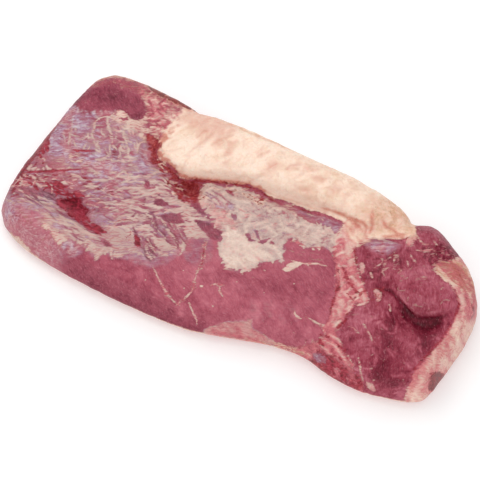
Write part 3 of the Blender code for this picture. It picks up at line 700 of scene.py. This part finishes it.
def paint_seam(top):
    """The fat between the flat and the point, streaked with red."""
    seam = (
        "101,64 128,64 121,50 123,40 127,32 133,22 142,12 153,2 162,-6 163,-16 154,-18 152,-30 151,-45 "
        "149,-58 142,-66 136,-60 133,-42 129,-24 122,-6 114,10 107,16 104,26 102,40"
    )
    foot = (
        "136,-60 150,-60 158,-68 166,-74 178,-84 190,-94 204,-100 204,-112 150,-112 122,-100 128,-88 "
        "136,-80 140,-70"
    )
    upper = "102,62 126,62 121,48 121,38 126,28 112,24 103,36"
    right_edge = "121,44 127,32 134,22 144,12 155,1 165,-7 158,-17 152,-30 150,-48"
    left_edge = "106,22 112,12 122,-4 128,-22 132,-40 137,-58"
    top.patch(foot, 9, fat=0.9, warm=0.5, flush=0.95, streak=0.4, dark=0.36, marbling=0.7)
    top.patch(seam, 5, fat=1.05, film=0, warm=0.4, flush=1.0, streak=0.2, dark=0.4, marbling=0.5)
    top.fringe(right_edge, 26, 4, 1.6, 92, soft=2, fat=0.05, dark=0.5)
    top.fringe(left_edge, 22, 4, 1.6, 91, soft=2, fat=0.05, dark=0.42)
    top.patch(upper, 18, flush=0.25, warm=0.85, fat=1.25)
    top.strew(upper, 14, 60, 12, 1.8, 68, 30, soft=5, flush=0.7)
    pale = {"flush": 0.42, "warm": 0.55, "fat": 1.25}
    top.patch("98,53 113,52 118,38 112,30 104,34 97,42; 124,28 133,22 144,11 155,0 164,-8 162,-14 155,-12 "
        "146,-4 136,5 126,16; 112,22 119,15 127,5 134,-4 131,-9 122,0 115,11; 132,-11 140,-12 147,-18 "
        "149,-26 143,-31 136,-29 131,-22; 134,-33 142,-33 148,-40 148,-50 144,-57 138,-52 135,-41", 9,
        **pale)
    rosy = {"flush": 0.95, "fat": 1.1}
    top.line("128,24 138,14 150,4 160,-6; 116,18 124,8 130,-2; 134,-16 142,-20 146,-28; 137,-36 142,-42 "
        "142,-52; 106,46 110,38 116,28", 2.4, soft=6, **rosy)
    top.strew(seam, 30, 68, 12, 1.8, 61, 26, soft=4, flush=1.0)
    top.strew(seam, 22, 68, 12, 1.8, 62, 26, soft=4, flush=0.25, warm=0.6, fat=1.25)
    top.strew(seam, 16, 68, 8, 1.4, 63, 40, soft=4, blood=0.5, warm=0.2)
    # Red between the pale folds
    crimson = {"blood": 0.9, "warm": 0.2, "dark": 0.4}
    top.line("115,20 122,13 129,6 141,-2 154,-10", 3, soft=7, **crimson)
    top.line("110,17 116,10 124,-1 129,-20 132,-36 136,-56", 2, soft=6, **crimson)
    top.line("121,44 126,34 133,24; 150,-30 152,-44 148,-58", 1.8, soft=6, **crimson)
    top.line("139,-12 142,-13; 143,-15 148,-17", 2, soft=3, blood=1, dark=0.8)
    # The foot, where the strands fan out over a pool of blood
    top.strew(foot, 40, -28, 16, 2, 64, 24, soft=5, blood=0.75, warm=0.1)
    top.strew(foot, 26, -28, 16, 1.8, 65, 24, soft=4, blood=0, fat=1.1, flush=0.75)
    top.line("143,-66 152,-66 162,-71; 141,-75 151,-74 161,-77 180,-88; 137,-81 147,-82 156,-85 179,-97",
        3, soft=5, blood=0, **pale)
    # A dark red line along the foot's lower edge: painted shade, in the red of blood
    top.line("129,-104 146,-103 162,-107 185,-109 206,-104", 4, soft=7, blood=0.9, dark=0.9, warm=0.5)
    top.patch("144,-90 156,-86 168,-90 184,-97 196,-108 170,-106 154,-100", 8, blood=0.85, warm=0.1,
        dark=0.6, fat=0.3)
    top.strew("150,-98 168,-96 190,-104 170,-108", 10, -28, 14, 1.6, 69, 14, soft=3, blood=0.2, fat=1,
        flush=0.7)
    top.patch("140,-94 150,-91 157,-96 146,-99", 5, film=0.6, fat=0, blood=0, dark=0.75, warm=0)
    top.patch("106,-99 126,-97 140,-95 138,-99 118,-103 102,-104", 6, fat=0.95, warm=0.7, flush=0.5,
        tan=0.7, blood=0)


def paint_point(top):
    """The point's lean: an upper lobe that folds over, and a darker body under it."""
    body = (
        "124,60 150,72 170,100 200,104 240,80 262,50 262,0 250,-90 200,-100 160,-70 154,-30 160,-10 134,24"
    )
    lobe = "176,34 190,50 210,58 229,53 244,39 247,28 238,16 228,6 214,2 200,5 186,16"
    fold = "157,13 168,11 179,13 187,10 194,7 205,2 216,-3 227,1 237,8 243,13 250,27"
    under = "190,8 205,1 216,-4 227,0 240,11 243,2 234,-11 222,-14 210,-9 198,0"
    top.patch(body, 14, dark=0.42)
    top.strew(body, 44, -62, 26, 7, 41, 30, soft=10, dark=0.6)
    top.strew(body, 40, -50, 20, 5, 42, 40, soft=9, dark=0.24)
    top.patch("150,-12 176,-16 186,-44 166,-56 154,-34", 16, dark=0.28)
    top.patch("200,-16 214,-20 240,-20 236,-60 222,-86 206,-80 200,-40", 20, dark=0.54)
    for dark, outlines in (
        (0.76, "187,-9 203,-27 209,-51 212,-76 206,-72 201,-48 190,-28; 197,-64 209,-64 215,-81 210,-90 "
            "200,-80"),
        (0.74, "227,-14 238,3 245,13 248,-9 242,-26 233,-31"),
        (0.3, "212,-31 220,-23 231,-32 227,-44 218,-43"),
    ):
        top.patch(outlines, 14, dark=dark)
    top.strew(body, 70, -40, 12, 2, 50, 60, soft=3, dark=0.66)
    top.strew(body, 70, -40, 12, 2, 51, 60, soft=3, dark=0.2)
    # The lobe over the fold, a painted highlight on its edge, and painted shade in and under the fold
    top.patch(under, 12, dark=0.9, rise=-2.5)
    top.patch(lobe, 8, dark=0.27, rise=2.5)
    top.strew(lobe, 24, 10, 14, 3, 43, 30, soft=4, dark=0.4)
    top.strew(lobe, 24, 10, 14, 1.4, 44, 30, soft=2, fat=0.5, flush=0.8)
    top.line(fold, 2.8, soft=5, dark=1.05, rise=-2.2)
    # A painted highlight along the lobe's lower edge
    top.line("187,12 200,8 214,3 226,6 236,14", 2, soft=5, dark=0.1)
    top.line("186,-6 196,-16 204,-30; 198,2 206,-8 214,-12", 2, soft=6, dark=0.9)
    # The lobe beside the hard fat's end, with dark marbling at its edge
    top.patch("178,70 184,92 200,98 222,86 226,72 208,62 190,60", 14, dark=0.42)
    corner = "186,80 200,93 218,92 232,76 226,62 210,62 192,70"
    top.strew(corner, 50, -40, 8, 2, 45, 60, soft=4, dark=0.8)
    top.strew(corner, 50, -40, 7, 1.3, 46, 60, soft=2, fat=0.7, flush=0.9)
    # Silverskin: the membrane's own colour, lightened as a painted sheen, with a pale line along its edge
    sheen = "129,54 133,61 142,65 154,67 163,70 160,60 152,52 139,49"
    top.patch(sheen, 10, film=0.8, dark=0.2)
    top.line("130,61 139,66 151,68 163,71", 2.2, soft=2.4, film=1, fat=0.7, warm=0)
    # Pieces and threads of fat
    fatty = {"fat": 1.2, "warm": 0.45, "flush": 0.5, "streak": 0}
    top.patch("134,28 139,29 144,21 142,16 139,19; 163,6 167,8 173,4 174,-6 169,-2; 167,90 172,93 176,86 "
        "175,77 171,72 167,80; 203,-95 210,-96 218,-99 213,-102", 5, **fatty)
    top.line("150,23 155,18", 2.2, soft=5, **fatty)
    thread = {"fat": 1.2, "flush": 0.58, "streak": 0.3}
    top.line("172,90 178,88 185,84 192,86; 181,73 190,77 198,83; 179,56 183,50; 159,38 159,48 162,52; "
        "164,57 165,52 167,46; 160,28 165,39; 185,-1 190,-10; 158,-46 166,-47 174,-50; 170,-36 178,-41 "
        "185,-47 191,-54; 192,93 201,89; 154,34 156,42; 174,44 181,39; 178,66 184,60 190,58", 1.8,
        soft=3.4, **thread)
    top.line("183,-73 188,-80 193,-88 201,-99; 172,-76 178,-82 184,-88 190,-96", 2.4, soft=4, fat=1.1,
        warm=0.5, flush=0.5)
    top.strew(body, 60, -50, 4, 1.4, 47, 60, soft=2.4, **{**thread, "fat": 0.7})
    upper = "150,30 154,58 170,68 186,60 186,40 170,20"
    top.strew(upper, 12, -60, 9, 1.8, 57, 40, soft=4, **{**thread, "fat": 0.75, "flush": 0.7})
    top.strew(body, 50, -50, 12, 1.4, 48, 60, soft=3, fat=0.4, flush=0.7)
    top.line("170,92 167,84 166,78; 176,8 173,-2 176,-12; 160,8 161,-4; 134,56 146,50 160,54 172,66", 1.6,
        soft=2.4, blood=0.6)
    top.strew("130,20 160,16 176,8 168,-6 140,2", 16, 20, 10, 2.4, 49, 40, soft=3, blood=0.5)
    # The painted shade under the fold and in it is kept clear of fat
    top.patch(under, 8, fat=0)
    top.line(fold, 4, soft=4, fat=0, flush=0)


def paint_rim(top):
    """The fat cap where it turns up round the point and along the outer edges."""
    rim = (
        "224,83 221,73 212,66 213,56 224,53 238,47 248,35 252,24 253,0 250,-25 246,-42 243,-55 243,-75 "
        "246,-92 262,-100 290,-80 296,20 280,70 240,95"
    )
    inner = "231,52 241,46 250,35 253,19 253,4 251,-14 247,-34 243,-50 242,-65 246,-88"
    red = "242,50 254,56 266,51 276,35 268,22 255,20 250,34"
    stain = "253,-58 258,-51 267,-50 272,-65 264,-76 257,-69"
    top.patch(rim, 5, fat=1.25, warm=0.72, flush=0.36, streak=0.4, dark=0.4, tan=0.1)
    top.fringe(inner, 24, 4, 1.6, 95, soft=2.4, fat=0.1, dark=0.5)
    top.strew(rim, 28, -62, 24, 3, 52, 12, soft=7, flush=0.75)
    top.strew(rim, 26, -62, 24, 3, 53, 12, soft=7, flush=0.15, warm=0.8)
    brown = "208,60 215,72 226,82 244,78 268,60 266,44 252,48 238,57 225,58"
    top.patch(brown, 10, tan=1.25, flush=0.35, fat=0.95, marbling=0.9, streak=0.7, dark=0.6)
    top.strew("214,66 226,78 256,66 266,50 244,58", 40, -28, 20, 1.6, 54, 10, soft=3, tan=1, flush=0.7,
        fat=0.85)
    top.line("216,74 236,68 256,52; 222,78 240,72 262,54; 228,66 244,58 258,40", 1.4, soft=4, tan=1,
        flush=1, blood=0.35, warm=0.9)
    top.patch(red, 16, flush=0.9, tan=0)
    top.strew(red, 14, -50, 14, 3, 55, 12, soft=7, flush=0.35, warm=0.7)
    top.line("250,50 257,42 264,32 268,20", 4, soft=9, flush=1.1, warm=0.3)
    top.line("262,44 268,34 270,22", 3, soft=6, blood=0.7, warm=0.2)
    top.patch(stain, 24, flush=0.8)
    top.patch("259,-54 266,-48 276,-54 272,-70 264,-72 259,-62", 7, blood=1, dark=1.2, warm=0.7)
    top.line("247,-28 246,-48 246,-66 249,-88", 6, soft=10, flush=0.95)
    top.line(inner, 2.4, soft=5, flush=1.1, blood=0.75, warm=0.1)
    back = (
        "-262,80 -249,87 -238,95 -225,101 -210,104 -195,106 -183,104 -172,108 -150,108 -120,110 -118,130 "
        "-200,135 -270,120"
    )
    top.patch(back, 8, fat=0.55, film=0, warm=0.45, flush=0.7, streak=0.3, dark=0.55, tan=0.3)
    top.patch("-262,84 -252,90 -242,106 -222,117 -200,120 -160,114 -130,113 -110,112 -110,130 -200,135 "
        "-270,120", 6, tan=1, flush=0.3, fat=0.9, dark=0.9)


def paint_hard_fat(top):
    """The hard fat: cream, with orange-pink smudges and a red edge over the crevice."""
    ridge = (
        "-139,88 -140,74 -139,60 -134,44 -126,38 -114,37 -104,34 -96,30 -90,28 -82,33 -70,38 -55,43 -40,49 "
        "-25,56 -10,58 10,57 40,61 66,64 90,67 104,64 128,64 140,67 158,76 172,90 166,104 150,140 "
        "0,150 -100,150 -130,118"
    )
    # The mottled corner beside it, which it fades into
    corner = "-196,110 -179,112 -154,108 -128,100 -126,84 -141,72 -150,68 -160,76 -172,78 -172,92 -186,102"
    top.patch(corner, 16, fat=1.0, film=0, flush=0.55, warm=0.5, streak=0.4, marbling=0.8, dark=0.4)
    top.strew(corner, 26, 24, 12, 1.8, 35, 40, soft=3, fat=1.1, flush=0.3, warm=0.7)
    top.strew(corner, 24, 24, 12, 1.6, 36, 40, soft=3, fat=0.5, flush=1, dark=0.42)
    top.patch(ridge, 5, fat=1.45, film=0, warm=1, flush=0, streak=0.1, dark=0.4, tan=0, blood=0,
        marbling=0.2)
    left_end = "-134,112 -137,96 -139,84 -139,70 -138,58"
    top.fringe(left_end, 22, 14, 2.6, 96, soft=6, fat=0.85, flush=0.75)
    top.fringe(left_end, 20, 12, 2.4, 97, soft=6, fat=1.4, flush=0.1, warm=1)
    field = "-125,112 -130,55 -90,38 0,66 100,74 155,84 150,112 0,128"
    right = "20,112 30,80 100,76 150,84 150,110 90,118"
    top.patch("0,150 20,90 70,72 130,66 180,90 150,150", 60, tan=0.3)
    top.patch("-150,130 -140,100 -120,92 -90,96 -70,110 -80,135", 26, flush=0.4)
    top.strew(field, 30, 80, 26, 8, 31, 20, soft=14, tan=0.45)
    top.strew(right, 26, 20, 22, 3, 34, 20, soft=7, tan=0.7, flush=0.22)
    top.strew(field, 24, 80, 18, 5, 33, 24, soft=9, flush=0, tan=0)
    # Orange-pink and tan smudges
    smudge = {"flush": 0.36, "tan": 0.35, "marbling": 0.4}
    top.patch("-80,112 -72,100 -74,84 -82,90 -86,104; -64,102 -58,86 -56,68 -64,80; 20,114 34,116 38,106 "
        "22,104; -14,100 -4,100 -6,84 -13,86; 60,106 74,108 78,98 64,95; 106,114 122,108 128,99 112,101; "
        "130,98 148,100 154,90 136,88; 30,84 42,88 46,80 34,77", 18, **smudge)
    top.line("-100,70 -95,83 -92,95 -90,106; -104,84 -101,94 -99,102; -58,69 -62,81 -66,95 -65,102; -9,82 "
        "-10,91 -7,100; 6,94 10,104 17,111; -84,84 -80,94 -80,104; 36,100 48,106 60,108; -30,96 -27,104 "
        "-22,110", 4, soft=10, flush=0.5, tan=0.3, marbling=0.4)
    top.strew(field, 60, 65, 18, 2, 38, 24, soft=7, flush=0.24, tan=0.25)
    top.strew(field, 40, 65, 18, 2.4, 39, 24, soft=7, flush=0, tan=0.05, fat=1.6)
    top.patch("124,118 116,92 126,74 158,78 174,92 160,120", 20, tan=0.8, flush=0.3, marbling=0.7)
    # The thin brown line of the far edge
    top.line("-134,122 -108,119 -79,120 -46,121 -14,123 14,125 60,126 110,122", 2, soft=5, tan=1,
        flush=0.3, marbling=0.6)
    top.line("-200,121 -185,120 -164,118 -140,117 -118,116", 5, soft=4, blood=0.85, dark=1.2, warm=1)
    # Its edge over the crevice runs red
    edge = "-139,72 -137,60 -132,46 -116,40 -96,32 -82,35 -56,45 -26,57 8,60"
    top.line(edge, 4, soft=16, flush=0.7)
    top.fringe(edge, 30, 8, 2, 98, soft=7, flush=0.9)
    top.line(edge, 1, soft=6, flush=1, blood=0.4)
    top.line("0,58 40,64 74,68 94,68", 1.5, soft=7, flush=0.5, tan=0.4)
    top.line("48,62 74,65 92,66", 1.2, soft=3, blood=0.5)
    # It runs into the seam without an edge
    top.patch("98,70 112,76 130,72 130,58 118,46 104,52", 14, fat=1.3, warm=0.9, flush=0.22, tan=0.3,
        marbling=0.6, blood=0)
    top.strew("98,68 114,74 128,68 124,50 106,50", 14, -50, 16, 1.8, 37, 20, soft=5, flush=0.6)
    top.line("116,98 121,86 125,78 128,66; 148,84 156,80 166,79; 96,74 112,76 124,72; 132,90 140,84 "
        "150,84; 60,70 84,74 104,72 120,66; 140,70 152,76 164,86", 2.6, soft=7, flush=1.0, warm=1, tan=0.4,
        marbling=0.5)


def painted(points, normals, belongs):
    """The brisket's masks at these points."""
    top = Top(on_plan(points), **BARE)
    for paint in (
        paint_lean,
        paint_sheet,
        paint_sheet_strokes,
        paint_windows,
        paint_front,
        paint_centre,
        paint_point,
        paint_seam,
        paint_veins,
        paint_rim,
        paint_hard_fat,
        paint_cuts,
    ):
        paint(top)
    # The far side, the cap's side and its underside lie out of the camera's sight
    away = smooth_step(-0.05, 0.15, -normals @ view_axes()[2])
    top.lay(slice(None), away, {"blood": 0, "dark": 0.45, "tan": 0.2})
    bare = away * (1 - belongs[:, HARD_FAT])
    top.lay(slice(None), bare, {"fat": 0.4, "film": 0.2, "warm": 0.5, "flush": 0.6})
    side = belongs[:, CAP] * (1 - smooth_step(9, 16, points[:, 2]))
    top.lay(slice(None), side, {"fat": 1.3, "film": 0, "blood": 0, "warm": 0.7, "streak": 0.1})
    return top


def raise_relief(top, points, normals):
    """Lifts and lowers the skin, in millimetres, where the fat lies thick or the meat is cut."""
    masks = top.masks
    sheet = masks["film"] * (1 - masks["fat"]) + masks["fat"] * masks["streak"]
    fibres = layered(turned(top.plan, SHEET_TURN) / (16, 2.6), 1, 401, 2) - 0.5
    lean = layered(turned(top.plan, LEAN_TURN) / (20, 3.2), 1, 431, 2) - 0.5
    waves = layered(top.plan, 24, 461, 3) - 0.5
    lumps = layered(top.plan, 7, 491, 3) - 0.5
    up = smooth_step(0.05, 0.6, normals[:, 2])
    lift = (
        masks["rise"]
        + FAT_LIFT * masks["fat"]
        + WAVE_LIFT * waves
        + FIBRE_LIFT * fibres * np.clip(sheet, 0, 1)
        + LEAN_LIFT * lean * (1 - np.clip(sheet + masks["fat"], 0, 1))
        + LUMP_LIFT * lumps * masks["fat"] * (1 - masks["streak"])
    )
    side = SIDE_LUMPS * lumps + SIDE_WAVES * waves
    return points + normals * (up * lift + (1 - up) * side * smooth_step(2, 8, points[:, 2]))[:, None]


class Value:
    """What a node gives, to be added, subtracted and multiplied as a number is."""

    def __init__(self, shade, socket):
        self.shade, self.socket = shade, socket

    def math(self, operation, other):
        """What one operation makes of this and another value or number."""
        return self.shade.add("ShaderNodeMath", {0: self, 1: other}, operation=operation)

    def __add__(self, other):
        return self.math("ADD", other)

    def __sub__(self, other):
        return self.math("SUBTRACT", other)

    def __mul__(self, other):
        return self.math("MULTIPLY", other)


class Shade:
    """A material whose nodes are written as a formula."""

    def __init__(self, name):
        self.material = bpy.data.materials.new(name)
        self.material.use_nodes = True
        self.tree = self.material.node_tree
        self.shader = self.tree.nodes["Principled BSDF"]
        self.place = self.add("ShaderNodeTexCoord", {}, "Object")

    def add(self, kind, inputs, output=0, **settings):
        """What a node with these settings gives, its inputs being numbers, colours or other values."""
        node = self.tree.nodes.new(kind)
        for name, value in settings.items():
            setattr(node, name, value)
        self.feed(node, inputs)
        return Value(self, node.outputs[output])

    def feed(self, node, inputs):
        """Links or sets inputs of a node."""
        for key, value in inputs.items():
            if isinstance(value, Value):
                self.tree.links.new(value.socket, node.inputs[key])
            else:
                node.inputs[key].default_value = value

    def mask(self, name):
        """One of the skin's masks."""
        return self.add("ShaderNodeAttribute", {}, "Fac", attribute_name=name)

    def fit(self, value, low, high, to_low=0.0, to_high=1.0, kind="LINEAR"):
        """Value from low to high turned into to_low to to_high, and held there beyond."""
        inputs = {0: value, 1: low, 2: high, 3: to_low, 4: to_high}
        return self.add("ShaderNodeMapRange", inputs, interpolation_type=kind)

    def mix(self, share, first, second):
        """A number between two others."""
        return self.add("ShaderNodeMix", {0: share, 2: first, 3: second})

    def blend(self, share, first, second):
        """A colour between two others."""
        return self.add("ShaderNodeMix", {0: share, 6: first, 7: second}, 2, data_type="RGBA")

    def ramp(self, value, *codes):
        """A colour from evenly spaced ones, for a value from 0 to 1."""
        colour = self.add("ShaderNodeValToRGB", {0: value})
        stops = colour.socket.node.color_ramp.elements
        for _ in codes[2:]:
            stops.new(0.5)
        for number, code in enumerate(codes):
            stops[number].position = number / (len(codes) - 1)
            stops[number].color = tone(code)
        return colour

    def noise(self, size, detail, place=None, distortion=0.0):
        """Even noise in bumps about this many millimetres wide."""
        inputs = {"Scale": 1 / (size * MM), "Detail": detail, "Distortion": distortion}
        return self.add("ShaderNodeTexNoise", {"Vector": place or self.place, **inputs})

    def streaks(self, turn, length, width, place, detail=2.0):
        """Noise drawn out along an angle."""
        inputs = {
            "Vector": place,
            "Rotation": (0, 0, math.radians(turn)),
            "Scale": (length * MM, width * MM, 2 * width * MM),
        }
        mapped = self.add("ShaderNodeMapping", inputs, vector_type="TEXTURE")
        return self.add("ShaderNodeTexNoise", {"Vector": mapped, "Scale": 1.0, "Detail": detail})

    def swayed(self, size, reach):
        """The places, moved this way and that so that streaks run in waves."""
        inputs = {"Vector": self.place, "Scale": 1 / (size * MM), "Detail": 1.0}
        noise = self.add("ShaderNodeTexNoise", inputs, "Color")
        centred = self.add("ShaderNodeVectorMath", {0: noise, 1: (0.5,) * 3}, operation="SUBTRACT")
        inputs = {0: centred, 1: (2 * reach * MM,) * 3, 2: self.place}
        return self.add("ShaderNodeVectorMath", inputs, operation="MULTIPLY_ADD")


def tone(code):
    """A colour from its sRGB code, as Blender takes it."""
    parts = [int(code[k : k + 2], 16) / 255 for k in (0, 2, 4)]
    return tuple(c / 12.92 if c <= 0.04045 else ((c + 0.055) / 1.055) ** 2.4 for c in parts) + (1,)


def skin_material(name, grain_turn, glow, lean_tones):
    """Meat, membrane and fat, told apart by the skin's masks."""
    s = Shade(name)
    sway = s.swayed(20, 6.0)
    weave = s.streaks(SHEET_TURN, 20, 3.2, sway, 4)
    thread = s.streaks(SHEET_TURN, 10, 1.3, sway, 3)
    grain = s.streaks(grain_turn, 9, 1.7, sway, 3)
    cloud = s.noise(11, 5, distortion=0.8)
    wisp = s.noise(6, 4, sway, distortion=2.0)
    broad = s.noise(24, 3)
    speck = s.noise(1.3, 2)
    stain = s.noise(8, 5, sway, distortion=1.0)
    mottle = s.noise(5, 5, distortion=0.6)
    crumb = s.noise(3.2, 5, sway, distortion=1.0)
    streaky, warm, flush, marbling = map(s.mask, ("streak", "warm", "flush", "marbling"))

    # Where fat covers: the mask against fibres or clouds
    clouds = cloud * 0.3 + wisp * 0.25 + crumb * 0.45
    breaks = s.fit(s.mix(streaky, clouds, weave * 0.55 + thread * 0.45), 0.37, 0.63)
    margin = s.mask("fat") * 1.3 - (breaks + 0.14)
    fat = s.fit(margin, -0.18, 0.34, kind="SMOOTHSTEP")
    thick = s.fit(margin, 0.0, 0.9)

    # Lean
    depth = s.mask("dark") + s.fit(grain, 0.3, 0.7, -0.12, 0.12)
    depth = depth + s.fit(broad, 0.3, 0.7, -0.16, 0.16) + s.fit(mottle, 0.3, 0.7, -0.12, 0.12)
    colour = s.ramp(depth, *lean_tones)
    fleck = s.fit(s.streaks(grain_turn, 3, 1.2, sway), 0.56, 0.76, 0, 0.26)
    colour = s.blend(fleck, colour, tone("d4959c"))

    # Membrane
    ply = s.fit(weave * 0.3 + thread * 0.4 + mottle * 0.3, 0.39, 0.60)
    pink = s.ramp(ply, "8e3d4c", "ab6872", "ba8189", "c9a3a2", "d6b8b6")
    lilac = s.ramp(ply, "8c4c60", "a3728a", "b08ea2", "beaab5", "cfc1c8")
    bluish = s.fit(broad + cloud * 0.4, 0.57, 0.75) * s.fit(warm, 0.3, 0.7, 1.0, 0.0)
    veil = s.mask("film") * s.fit(cloud, 0.35, 0.6, 0.6, 1.0)
    colour = s.blend(veil, colour, s.blend(bluish, pink, lilac))

    # Fat: greyish, creamy or reddened
    ply = s.mix(streaky, wisp * 0.5 + mottle * 0.5, weave * 0.45 + thread * 0.55)
    ply = (ply - 0.5) * (marbling * 3.4 + 0.6) + (thick * 0.45 + 0.3)
    grey = s.ramp(ply, "9a7177", "ac8b8b", "bba29c", "c8b0a7", "d4c0b5")
    cream = s.ramp(ply, "d39e88", "e5bba2", "f1cfb9", "f9dfcc", "ffeede")
    brown = s.ramp(ply, "8f5540", "b58065", "d6a885", "e9c6a4")
    rosy = s.ramp(ply - 0.2, "8a2737", "a84354", "c25e6a", "d38484", "e2aba1")
    ruddy = s.ramp(ply - 0.2, "a04a3e", "b9644f", "cc8270", "dc9c88", "ebb8a4")
    tan = s.mask("tan") * s.fit(cloud, 0.36, 0.6, 0.2, 1.0)
    colour_of_fat = s.blend(tan, s.blend(warm, grey, cream), brown)
    reds = s.mix(streaky, mottle * 0.35 + wisp * 0.35 + stain * 0.3, thread)
    spread = s.fit(reds, 0.37, 0.63, -0.65, 0.35) * s.fit(marbling, 0.0, 0.6, 0.3, 1.0)
    blush = s.fit(flush * 1.3 + spread, 0, 0.8, 0, 0.92)
    colour_of_fat = s.blend(blush, colour_of_fat, s.blend(s.fit(warm, 0.7, 1.0), rosy, ruddy))
    colour = s.blend(fat, colour, colour_of_fat)

    # Blood, in spots where there is little of it
    spots = s.fit(s.mix(streaky * 0.6, stain, thread), 0.38, 0.62, 0.1, 1.1)
    blood = s.fit(s.mask("blood") * 1.6 - spots, -0.25, 0.5, kind="SMOOTHSTEP")
    wet = s.fit(mottle * 0.5 + thread * 0.5, 0.36, 0.66) - s.fit(s.mask("dark"), 0.6, 1.2, 0, 0.4)
    crimson = s.ramp(wet, "62121e", "8a1f30", "a63145", "bc4c5a")
    rust = s.ramp(wet, "701b1f", "902d2d", "ac4846", "c46c62")
    colour = s.blend(blood * 0.94, colour, s.blend(warm, crimson, rust))

    # Fine relief
    smooth = fat * s.fit(streaky, 0.1, 0.6, 1, 0)
    height = fat * 0.3 + grain * 0.18 + thread * 0.35 + mottle * s.fit(smooth, 0, 1, 0.4, 0.25)
    height = height + speck * s.fit(smooth, 0, 1, 0.14, 0.03)
    rough = s.mix(fat, s.fit(grain, 0.3, 0.7, 0.40, 0.54), 0.55)
    s.feed(s.shader, {
        "Base Color": colour,
        "Roughness": s.mix(blood, rough, 0.3),
        "Subsurface Weight": glow,
        "Subsurface Radius": (1.0, 0.35, 0.25),
        "Subsurface Scale": 0.0015,
        "Specular IOR Level": 0.14,
        "Coat Weight": 0.05,
        "Coat Roughness": 0.25,
        "Normal": s.add("ShaderNodeBump", {"Strength": 0.8, "Distance": 0.001, "Height": height}),
    })
    return s.material


def build_pieces():
    """Every visible piece of the brisket, each in the place of its CAD node."""
    points, faces, belongs = whole_skin()
    normals = normals_of(points, faces)
    top = painted(points, normals, belongs)
    points = raise_relief(top, points, normals)
    points[:, 2] = np.maximum(points[:, 2], 0)
    normals = normals_of(points, faces)
    owner = belongs[faces].sum(axis=1).argmax(axis=1)
    for number, (node, name, slot, grain_turn, glow) in enumerate(PARTS):
        mesh, used, edge = build_piece(number, points, faces[owner == number], normals)
        for mask, values in top.masks.items():
            if mask != "rise":
                layer = mesh.attributes.new(mask, "FLOAT", "POINT")
                layer.data.foreach_set("value", np.concatenate([values[used], values[used[edge]]]))
        tones = POINT_TONES if node == "point_muscle" else FLAT_TONES
        mesh.materials.append(skin_material(node + "_skin", grain_turn, glow, tones))
        piece = bpy.data.objects.new(name, mesh)
        bpy.context.scene.collection.objects.link(piece)
        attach(piece, "root")
        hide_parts(node)


def build_stage():
    """A white floor, soft light from above and a little behind, and the photograph's view."""
    bpy.ops.mesh.primitive_plane_add(size=FLOOR_SIZE, location=(0, 0, 0))
    floor = bpy.context.object
    floor.name = "white_floor"
    white = Shade("white_floor")
    white.feed(white.shader, {
        "Base Color": (0.85, 0.85, 0.85, 1),
        "Roughness": 0.9,
        "Specular IOR Level": 0.1,
        "Emission Color": (1, 1, 1, 1),
        "Emission Strength": 0.2,
    })
    floor.data.materials.append(white.material)

    scene = bpy.context.scene
    scene.view_settings.view_transform = "Standard"
    scene.world = bpy.data.worlds.new("studio")
    scene.world.use_nodes = True
    sky = scene.world.node_tree.nodes["Background"]
    sky.inputs["Color"].default_value = (1, 1, 1, 1)
    sky.inputs["Strength"].default_value = SKY_STRENGTH

    for name, energy, size, place in LAMPS:
        light = bpy.data.lights.new(name, "AREA")
        light.energy = energy
        light.size = size
        lamp = bpy.data.objects.new(name, light)
        lamp.location = place
        lamp.rotation_euler = Vector(place).to_track_quat("Z", "Y").to_euler()
        scene.collection.objects.link(lamp)

    camera = bpy.data.objects.new("camera", bpy.data.cameras.new("camera"))
    camera.data.lens = LENS_MM
    camera.data.sensor_width = SENSOR_MM
    axes = view_axes()
    turn = Matrix(axes).transposed().to_4x4()
    camera.matrix_world = Matrix.Translation(VIEW_TARGET + VIEW_DISTANCE * axes[2]) @ turn
    scene.collection.objects.link(camera)
    scene.camera = camera


build_pieces()
build_stage()
